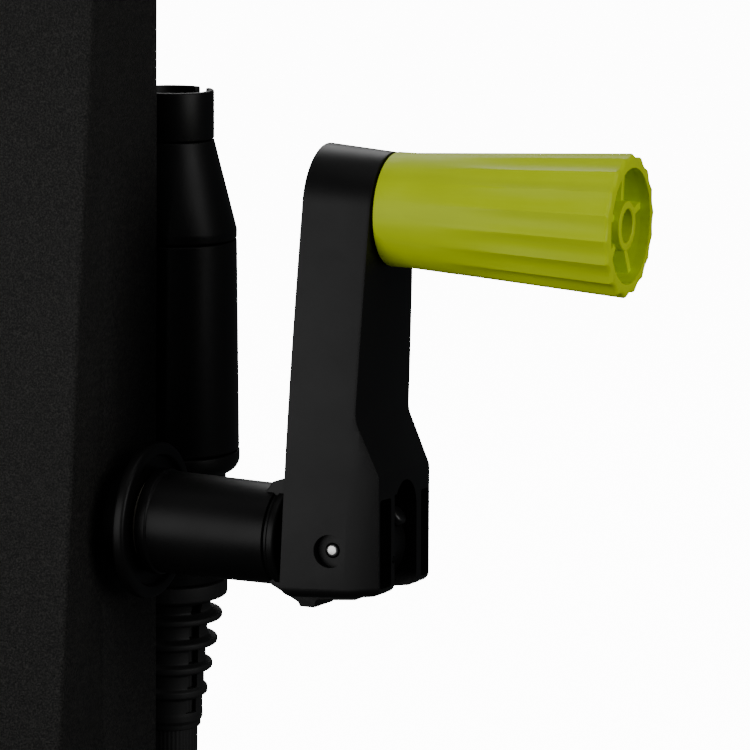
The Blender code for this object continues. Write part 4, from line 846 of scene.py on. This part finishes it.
def arm_half_depth(height):
    share = min(max((height - RAMP_LOW) / (ARM_LENGTH - RAMP_LOW), 0), 1)
    return ARM_HALF + (ARM_HEAD - ARM_HALF) * share ** 1.5


def arm_ring(along, more=0.0):
    """The arm's outline at a distance from the post's side, drawn in by its draft."""
    inset = ARM_DRAFT * (along - ARM_NEAR) + more
    half, bottom, corner = ARM_HALF - inset, -ARM_UNDER + inset, 3.0
    outline = arc(-half + corner, bottom + corner, corner, 180, 270, 8)
    outline += arc(half - corner, bottom + corner, corner, 270, 360, 8)
    rises = [RAMP_LOW + (ARM_LENGTH - RAMP_LOW) * k / 12 for k in range(12)]
    outline += [(arm_half_depth(height) - inset, height) for height in rises]
    outline += arc(0, ARM_LENGTH, ARM_HEAD - inset, 0, 180, 64)
    outline += [(inset - arm_half_depth(height), height) for height in reversed(rises)]
    return in_metres([(along, y, z) for y, z in outline])


class CRANKUNIT_OT_arm(Operator):
    """Model the folding arm: its drafted body, housing, fork, slots, pockets and axle seat"""
    bl_idname = "crankunit.arm"
    bl_label = "Crank Arm"

    def execute(self, context):
        settings = context.scene.crank_settings
        arm = loft("arm_moulding", [arm_ring(ARM_NEAR), arm_ring(ARM_FACE - 1),
                                    arm_ring(ARM_FACE + 1.5, 0.08), arm_ring(ARM_FAR, EXTRA_DRAFT)])
        self.cut_front(arm)
        self.cut_inner_corner(arm)
        round_edges(arm, settings.edge, 4, 28)
        self.cut_housing(arm, settings)
        self.cut_back(arm)
        settle(arm, CRANK)
        hand_over(arm, "crank_arm", smooth=38)
        return {"FINISHED"}

    @staticmethod
    def side_cut(arm, points):
        outline = fillet(in_metres(points), 0, 8)
        combine(arm, slab("side_cutter", outline, -BESIDE * MM, BESIDE * MM, "Y"))

    def cut_front(self, arm):
        """The housing's outer face, its ramp, and the upper arm's face."""
        low = -ARM_UNDER + ARM_INSET + EXTRA_DRAFT
        face = ARM_FAR - HOUSING_ROUND
        rounded = arc(face, low + HOUSING_ROUND, HOUSING_ROUND, -90, 0, 8)
        self.side_cut(arm, [(face, BELOW), (face, low), *kept(rounded[1:]),
                            (HOUSING_TOP_FACE, RAMP_LOW, 5), (ARM_FACE, RAMP_HIGH, 9),
                            (ARM_FACE, OVER), (OUT, OVER), (OUT, BELOW)])

    def cut_inner_corner(self, arm):
        edge = ARM_NEAR + INNER_ROUND
        rounded = arc(edge, -ARM_UNDER + INNER_ROUND, INNER_ROUND, 270, 180, 10)
        self.side_cut(arm, [(ARM_NEAR - 5, BELOW), (edge, BELOW), (edge, -ARM_UNDER),
                            *rounded[1:], (ARM_NEAR - 5, -ARM_UNDER + INNER_ROUND)])

    @staticmethod
    def cut_housing(arm, settings):
        """The fork, the arched mouth, the slots beside it, and the pin's holes."""
        cut_block(arm, (ARM_NEAR - 2, -7.5, BELOW), (OUT, 7.5, 16.6))
        arch = in_metres([(-7.2, BELOW), (9.3, BELOW), *arc(1.05, 12, 8.25, 0, 180, 24)])
        combine(arm, slab("arch_cutter", arch, 83.5 * MM, OUT * MM, "X"))
        low = -ARM_UNDER + ARM_INSET + 3
        half = ARM_HALF - ARM_INSET - EXTRA_DRAFT - settings.web / MM + 0.5
        for near, far in ((-half, -10.2), (12.9, half)):
            cut_block(arm, (83.2, near, low), (OUT, far, 16.0), radius=0.9)
        recess = ARM_HALF - RECESS_DEPTH
        cut_bore(arm, [(PIN_RECESS, -40, -recess), (PIN_HOLE, -recess, recess),
                       (PIN_RECESS, recess, 40)], "Y", (PIN.x / MM, 0, 0), facets=64)
        cut_bore(arm, [(1.1, -12, 40)], "X", (ARM_FACE, -8.4, -2.5), facets=20)

    @staticmethod
    def cut_back(arm):
        """Three ribbed pockets and the axle's seat in the arm's post side."""
        cell = (POCKET_HIGH - POCKET_LOW - 2 * POCKET_RIB) / POCKETS
        for index in range(POCKETS):
            start = POCKET_LOW + index * (cell + POCKET_RIB)
            end = start + cell
            low, high = arm_half_depth(start) - POCKET_WALL, arm_half_depth(end) - POCKET_WALL
            rings = []
            for x, inset in ((ARM_NEAR - 1, 0), (ARM_NEAR + POCKET_DEPTH, POCKET_DRAFT)):
                ring = fillet([(inset - low, start + inset), (low - inset, start + inset),
                               (high - inset, end - inset), (inset - high, end - inset)], 2, 5)
                rings.append(in_metres([(x, y, z) for y, z in ring]))
            combine(arm, loft("pocket_cutter", rings))
        seat = ARM_NEAR + 3.6
        cut_bore(arm, [(7.3, ARM_NEAR - 1, seat), (3.8, seat, OUT)], "X", (0, 0, ARM_LENGTH),
                 facets=64)


class CRANKUNIT_OT_pin(Operator):
    """Turn the domed pin that the arm folds on, and refine its clip"""
    bl_idname = "crankunit.pin"
    bl_label = "Folding Pin"

    def execute(self, context):
        place = CRANK @ Matrix.Translation((PIN.x, 0, 0))
        stand_turned("pivot_pin", "fold_pin", [(0, -19.3), (2, -19.3, 0.9), (2, 21.1, 0.5),
                                               (0, 21.1)], place, "Y", steps=48)
        refine("pin_clip", "pin_ring", 0.15)
        return {"FINISHED"}


# ---- the grip
GRIP_LENGTH, GRIP_PLAIN = 73.5, 6.0
GRIP_THIN, GRIP_WIDE = 16.9, 20.9
MOUTH, MOUTH_TAPER, MOUTH_DEPTH = 16.8, 3.0, 34.0
TUBE, TUBE_BORE, TUBE_BREAK = 7.2, 4.9, 0.4
AXLE_BORE, AXLE_SEAT = 3.9, 14.8
FLUTE_FACETS = 12


def grip_radius(along):
    share = max(along - GRIP_PLAIN, 0) / (GRIP_LENGTH - GRIP_PLAIN)
    return GRIP_THIN + (GRIP_WIDE - GRIP_THIN) * share


class CRANKUNIT_OT_grip(Operator):
    """Loft the fluted grip, cut its mouth, stand the spokes in it, and bore it for the axle"""
    bl_idname = "crankunit.grip"
    bl_label = "Grip"

    def execute(self, context):
        settings = context.scene.grip_settings
        back = CRANK.inverted()
        base = min((back @ vertex.co).x for vertex in frame["nodes"]["grip"].data.vertices)
        end = base + GRIP_LENGTH * MM
        stations = [(0, 0.6), (0.18, 0.18), (0.6, 0), (GRIP_PLAIN, 0)]
        first, fade = settings.flute_start / MM, settings.flute_fade / MM
        stations += [(first + fade * share, 0) for share in (0, 0.15, 0.35, 0.6, 0.85, 1)]
        stations += [(GRIP_LENGTH - 1.1, 0), (GRIP_LENGTH - 0.65, 0.15),
                     (GRIP_LENGTH - 0.2, 0.6), (GRIP_LENGTH, 1.0)]
        grip = loft("grip_moulding", [self.ring(settings, base, *station) for station in stations])
        mouth = [(TUBE, -MOUTH_DEPTH), (MOUTH - MOUTH_TAPER, -MOUTH_DEPTH, 1), (MOUTH, -3.0, 0.2),
                 (MOUTH, 0, 0), (MOUTH + 0.5, 0.5, 0), (MOUTH + 0.5, 4, 0), (0, 4), (0, -1),
                 (TUBE, -1, 0.4)]
        combine(grip, lathe("mouth_tool", fillet(in_metres(mouth), 0.3 * MM), "X", (end, 0, 0)))
        half = settings.spoke_thickness / 2
        spoke = block("spoke", (end - (MOUTH_DEPTH + 1) * MM, -half, (TUBE - 1) * MM),
                      (end - 3 * MM, half, (MOUTH + 1) * MM), 0.3 * MM, 2)
        combine(grip, copies_round(spoke, settings.spokes), "UNION")
        start, seat, tip = base / MM - 1, (end - AXLE_SEAT * MM) / MM, end / MM
        wide = TUBE_BORE + TUBE_BREAK
        bore = [(0, start), (AXLE_BORE, start), (AXLE_BORE, seat), (TUBE_BORE, seat),
                (TUBE_BORE, tip - 1.3), (wide, tip - 0.9), (wide, tip + 3), (0, tip + 3)]
        combine(grip, lathe("bore_tool", in_metres(bore), "X", steps=64))
        settle(grip, CRANK @ Matrix.Translation((0, 0, GRIP.z)))
        hand_over(grip, "grip", smooth=40)
        return {"FINISHED"}

    @staticmethod
    def ring(settings, base, along, shrink):
        """One ring of the grip: wide hollow flutes between soft ridges."""
        fade = min(max((along * MM - settings.flute_start) / settings.flute_fade, 0), 1)
        fade = fade * fade * (3 - 2 * fade)
        facets = settings.flutes * FLUTE_FACETS
        points = []
        for index in range(facets):
            turn = math.tau * index / facets
            hollow = settings.flute_depth * fade * abs(math.sin(turn * settings.flutes / 2))
            radius = (grip_radius(along) - shrink) * MM - hollow
            points.append((base + along * MM, radius * math.sin(turn), radius * math.cos(turn)))
        return points


class CRANKUNIT_OT_axle(Operator):
    """Refine the grip's axle and the screw that holds the grip on it"""
    bl_idname = "crankunit.axle"
    bl_label = "Grip Axle"

    def execute(self, context):
        refine("grip_axle", "axle_bolt", 0)
        refine("grip_screw", "axle_screw", 0.15)
        return {"FINISHED"}


# ---- nozzle, connector and hose
NOTCH_TURN = math.radians(62)
BARREL_LOW, BARREL_TOP, BARREL_TIP = 11.8, 78.9, 20.3
CONE_LOW, CONE_TOP = 79.3, 110.3
HEAD_LOW, HEAD_TOP, HEAD_WIDE = 110.7, 125.9, 13.0
NECK_BORE, NECK_WIDE = 5.5, 11.0


class CRANKUNIT_OT_nozzle(Operator):
    """Turn the nozzle's barrel, cone and notched head, and the jet insert in it"""
    bl_idname = "crankunit.nozzle"
    bl_label = "Nozzle"

    def execute(self, context):
        stand_turned("nozzle_barrel", "barrel_moulding",
                     [(11.4, BARREL_LOW), (21.4, BARREL_LOW, 0.7), (BARREL_TIP, BARREL_TOP, 0.6),
                      (17.0, BARREL_TOP), (18.0, 34.8, 2), (11.4, 30.8)], STAND)
        stand_turned("nozzle_cone", "cone_moulding",
                     [(14.2, 74.3), (16.6, 74.3), (16.6, CONE_LOW, 0.2),
                      (BARREL_TIP, CONE_LOW, 0.5), (BARREL_TIP, 82.1, 2.0),
                      (HEAD_WIDE, CONE_TOP, 0.3), (9.1, CONE_TOP), (14.2, 80.1)], STAND)
        head = turned("head_moulding",
                      [(9.1, HEAD_LOW), (HEAD_WIDE, HEAD_LOW, 0.4), (12.9, HEAD_TOP, 0.6),
                       (11.0, HEAD_TOP, 0.4), (11.0, 112), (9.1, 112)], STAND)
        for slot in range(2):
            turn = STAND @ Matrix.Rotation(NOTCH_TURN + math.pi * slot, 4, "Z")
            cut_block(head, (9, -2.8, 120.9), (15, 2.8, 127), turn)
            cut_block(head, (9, 0, 120.9), (15, 6.2, 123.4), turn)
        round_edges(head, 0.25 * MM, 2, 50)
        hand_over(head, "nozzle_head")
        stand_turned("jet_insert", "jet_disc",
                     [(1.5, 112.3), (10.7, 112.3), (10.7, 114.3), (5.0, 114.3, 0.6),
                      (4.0, 118.3, 0.5), (1.5, 118.3)], STAND, steps=64)
        return {"FINISHED"}


class CRANKUNIT_OT_connector(Operator):
    """Turn the connector, its sealing ring and the locking collar round its neck"""
    bl_idname = "crankunit.connector"
    bl_label = "Connector"

    def execute(self, context):
        stand_turned("lock_collar", "locking_ring",
                     [(14.8, 4.4), *kept(arc(17.1, 8.9, 4.5, -90, 0, 14)), (21.6, 11.4, 0.5),
                      (14.8, 11.4)], STAND, radius=0.2 * MM)
        stand_turned("connector_body", "connector_moulding",
                     [(NECK_BORE, -11.7), (HOSE_PASSAGE, -11.7), (HOSE_PASSAGE, -30.3),
                      (17.2, -30.3, 0.5), (17.2, 4.0, 0.9), (14.4, 4.0, 0.3), (14.4, 10.7),
                      (NECK_WIDE, 10.7), (NECK_WIDE, 23.0), (8.1, 23.0), (8.1, 26.2),
                      (NECK_WIDE, 26.2), (NECK_WIDE, 29.0, 0.6), (NECK_BORE, 29.0)], STAND)
        stand_turned("connector_seal", "sealing_ring",
                     kept(arc(9.7, 24.6, 1.3, 0, 337.5, 15)), STAND, steps=96)
        return {"FINISHED"}


RIB_FIRST, RIB_PITCH, RIB_HALF = -42.7, 8.3, 1.9
RIB_TIP, TIP_STEP = 16.3, 1.55
RIB_VALLEY, VALLEY_STEP = 12.0, 0.5
BOOT_END, WINDOWS_TOP = -79.5, -37.7
WINDOW_TURN = -math.radians(24)


class CRANKUNIT_OT_boot(Operator):
    """Turn the ribbed bend protector and cut the windows between its ribs"""
    bl_idname = "crankunit.boot"
    bl_label = "Bend Protector"

    def execute(self, context):
        settings = context.scene.hose_settings
        middles = [RIB_FIRST - RIB_PITCH * rib for rib in range(settings.ribs)]
        outline = [(HOSE_PASSAGE, -30.6), (17.9, -30.6, 0.5), (17.9, -35.6, 0.8),
                   (13.0, -37.6, 1.2)]
        for rib, middle in enumerate(middles):
            tip, valley = RIB_TIP - TIP_STEP * rib, RIB_VALLEY - VALLEY_STEP * rib
            outline += [(valley, middle + RIB_HALF, 0.8), (tip, middle + 1.0, 0.8),
                        (tip, middle - 0.9, 0.8), (valley - 0.5, middle - RIB_HALF, 0.8)]
        outline += [(valley - 0.5, BOOT_END, 0.4), (HOSE_PASSAGE, BOOT_END)]
        boot = turned("bend_protector", outline, STAND)
        half = settings.window_width / 2 / MM
        for rib, middle in enumerate(middles):
            top = middles[rib - 1] - RIB_HALF if rib else WINDOWS_TOP
            tool = block("window_cutter", *in_metres(((6, -half, middle + RIB_HALF),
                                                      (20, half, top))))
            tools = copies_round(tool, settings.windows, "Z", WINDOW_TURN)
            settle(tools, STAND)
            combine(boot, tools)
        round_edges(boot, 0.2 * MM, 2, 60)
        hand_over(boot, "hose_boot")
        return {"FINISHED"}


class CRANKUNIT_OT_hose(Operator):
    """Turn the straight hose between its port and its connector"""
    bl_idname = "crankunit.hose"
    bl_label = "Hose"

    def execute(self, context):
        stand_turned("hose", "garden_hose", [(HOSE_BORE, -153.7), (HOSE_RADIUS, -153.7),
                                             (HOSE_RADIUS, -12.0), (HOSE_BORE, -12.0)], STAND)
        return {"FINISHED"}


HEAD_HEIGHT = 2.0
CROSS_LONG, CROSS_HALF = 1.9, 0.35


class CRANKUNIT_OT_screws(Operator):
    """Turn the pan-head screws and cut the crosses in their heads"""
    bl_idname = "crankunit.screws"
    bl_label = "Screws"

    def execute(self, context):
        for node, side in (("post_screw_1", -1), ("post_screw_2", 1)):
            low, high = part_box(node)
            seat = low.x + HEAD_HEIGHT * MM if side < 0 else high.x - HEAD_HEIGHT * MM
            turn = Matrix.Rotation(math.pi * (side < 0), 4, "Z") @ Matrix.Rotation(
                math.pi / 2, 4, "Y")
            self.screw(node, (seat, (low.y + high.y) / 2, (low.z + high.z) / 2), turn)
        for node in ("holder_screw_1", "holder_screw_2", "holder_screw_3"):
            low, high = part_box(node)
            place = ((low.x + high.x) / 2, high.y - HEAD_HEIGHT * MM, (low.z + high.z) / 2)
            self.screw(node, place, Matrix.Rotation(-math.pi / 2, 4, "X"))
        return {"FINISHED"}

    @staticmethod
    def screw(node, place, turn):
        screw = turned(node + "_steel", [(0, -9.0), (1.1, -9.0), (1.8, -7.8), (1.8, 0), (3.6, 0),
                                         (3.6, 1.0, 0.3), (3.1, HEAD_HEIGHT, 0.9),
                                         (0, HEAD_HEIGHT)], radius=0.1 * MM, steps=40)
        cut_block(screw, (-CROSS_LONG, -CROSS_HALF, 0.7), (CROSS_LONG, CROSS_HALF, 3))
        cut_block(screw, (-CROSS_HALF, -CROSS_LONG, 0.7), (CROSS_HALF, CROSS_LONG, 3))
        settle(screw, Matrix.Translation(place) @ turn)
        hand_over(screw, node)


# ---- the stage
GLOW = 13.0                 # the floor and the backdrop shine as evenly as a lit sweep
DIM = 0.05
SENSOR = 36
AIM_OUT, AIM_RIGHT, AIM_UP = 24.63 * MM, 54.43 * MM, 45.37 * MM    # the camera's aim, from the hub


class CRANKUNIT_OT_stage(Operator):
    """Lay the pale floor, set the soft lights and the camera"""
    bl_idname = "crankunit.stage"
    bl_label = "Stage"

    def execute(self, context):
        settings = context.scene.stage_settings
        self.floor(settings)
        self.world()
        aim = HUB + Vector((0.03, 0, 0.02))
        self.area("Key", aim, (-0.30, -0.66, 0.09), (0.75, 0.55), settings.key)
        self.area("Overhead", aim, (0.05, -0.15, 1.1), (1.0, 0.8), settings.fill)
        self.area("Side", aim, (1.15, -0.25, 0.35), (0.6, 0.8), settings.side)
        self.area("Back", aim, (-0.45, 0.95, 0.85), (0.8, 0.6), settings.back)
        self.area("Left", aim, (-1.2, 0.15, 0.5), (0.6, 0.6), settings.back / 2)
        self.camera(settings)
        return {"FINISHED"}

    @staticmethod
    def floor(settings):
        deselect()
        bpy.ops.mesh.primitive_circle_add(vertices=96, radius=14, fill_type="NGON")
        floor = bpy.context.object
        floor.name = floor.data.name = "pale_floor"
        made, tree, shader = new_material("Pale Floor", Roughness=0.9, Specular_IOR_Level=0.1)
        tone = noise(tree, object_place(tree), 0.6, 2.0)
        vary_colour(tree, shader, tone, *shades(settings.floor, 0.985, 1.0))
        shader.inputs["Emission Color"].default_value = (1, 1, 1, 1)
        shader.inputs["Emission Strength"].default_value = GLOW
        floor.data.materials.append(made)
        floor.visible_glossy = floor.visible_diffuse = False

    @staticmethod
    def world():
        world = bpy.data.worlds.new("Soft Studio")
        bpy.context.scene.world = world
        world.use_nodes = True
        tree = world.node_tree
        dim = tree.nodes["Background"]
        dim.inputs["Color"].default_value = (0.9, 0.95, 1.0, 1)
        dim.inputs["Strength"].default_value = DIM
        pale = add(tree, "ShaderNodeBackground", {"Color": (1, 1, 1, 1), "Strength": GLOW})
        path = add(tree, "ShaderNodeLightPath")
        choice = add(tree, "ShaderNodeMixShader")
        tree.links.new(path.outputs["Is Camera Ray"], choice.inputs[0])
        tree.links.new(dim.outputs[0], choice.inputs[1])
        tree.links.new(pale.outputs[0], choice.inputs[2])
        tree.links.new(choice.outputs[0], tree.nodes["World Output"].inputs["Surface"])

    @staticmethod
    def area(name, aim, offset, size, power):
        data = bpy.data.lights.new(name, "AREA")
        data.shape = "RECTANGLE"
        data.size, data.size_y = size
        data.energy = power
        light = bpy.data.objects.new(name, data)
        bpy.context.scene.collection.objects.link(light)
        light.location = aim + Vector(offset)
        light.rotation_euler = (-Vector(offset)).to_track_quat("-Z", "Y").to_euler()

    @staticmethod
    def camera(settings):
        turn, rise, roll = settings.azimuth, settings.elevation, settings.roll
        back = Vector((math.sin(turn) * math.cos(rise), -math.cos(turn) * math.cos(rise),
                       math.sin(rise)))
        level = Vector((math.cos(turn), math.sin(turn), 0))
        upright = back.cross(level)
        right = math.cos(roll) * level + math.sin(roll) * upright
        up = math.cos(roll) * upright - math.sin(roll) * level
        data = bpy.data.cameras.new("Front Camera")
        data.lens = settings.lens
        data.sensor_width = SENSOR
        camera = bpy.data.objects.new("Front Camera", data)
        bpy.context.scene.collection.objects.link(camera)
        place = HUB + Vector((AIM_OUT, 0, 0)) + AIM_RIGHT * right + AIM_UP * up
        axes = Matrix((right, up, back)).transposed().to_4x4()
        camera.matrix_world = Matrix.Translation(place + settings.distance * back) @ axes
        bpy.context.scene.camera = camera


# ---- panel and run
STEPS = (CRANKUNIT_OT_post, CRANKUNIT_OT_foot, CRANKUNIT_OT_holders, CRANKUNIT_OT_bearing,
         CRANKUNIT_OT_drive, CRANKUNIT_OT_hub, CRANKUNIT_OT_arm, CRANKUNIT_OT_pin,
         CRANKUNIT_OT_grip, CRANKUNIT_OT_axle, CRANKUNIT_OT_nozzle, CRANKUNIT_OT_connector,
         CRANKUNIT_OT_boot, CRANKUNIT_OT_hose, CRANKUNIT_OT_screws, CRANKUNIT_OT_stage)


class CRANKUNIT_PT_panel(Panel):
    bl_idname = "CRANKUNIT_PT_panel"
    bl_label = "Crank Unit"
    bl_space_type = "VIEW_3D"
    bl_region_type = "UI"
    bl_category = "Crank Unit"

    def draw(self, context):
        for name, _ in SETTINGS:
            box = self.layout.box()
            group = getattr(context.scene, name)
            for value in group.bl_rna.properties.keys():
                if value not in ("rna_type", "name"):
                    box.prop(group, value)
        for step in STEPS:
            self.layout.operator(step.bl_idname)


SETTINGS = (("finish_settings", FinishSettings), ("grip_settings", GripSettings),
            ("crank_settings", CrankSettings), ("hose_settings", HoseSettings),
            ("stage_settings", StageSettings))


def register():
    for name, group in SETTINGS:
        bpy.utils.register_class(group)
        setattr(bpy.types.Scene, name, PointerProperty(type=group))
    for step in STEPS:
        bpy.utils.register_class(step)
    bpy.utils.register_class(CRANKUNIT_PT_panel)


def unregister():
    bpy.utils.unregister_class(CRANKUNIT_PT_panel)
    for step in reversed(STEPS):
        bpy.utils.unregister_class(step)
    for name, group in reversed(SETTINGS):
        delattr(bpy.types.Scene, name)
        bpy.utils.unregister_class(group)


def main():
    register()
    FINISHES.update(make_finishes())
    for step in STEPS:
        group, name = step.bl_idname.split(".")
        getattr(getattr(bpy.ops, group), name)()


if __name__ == "__main__":
    main()
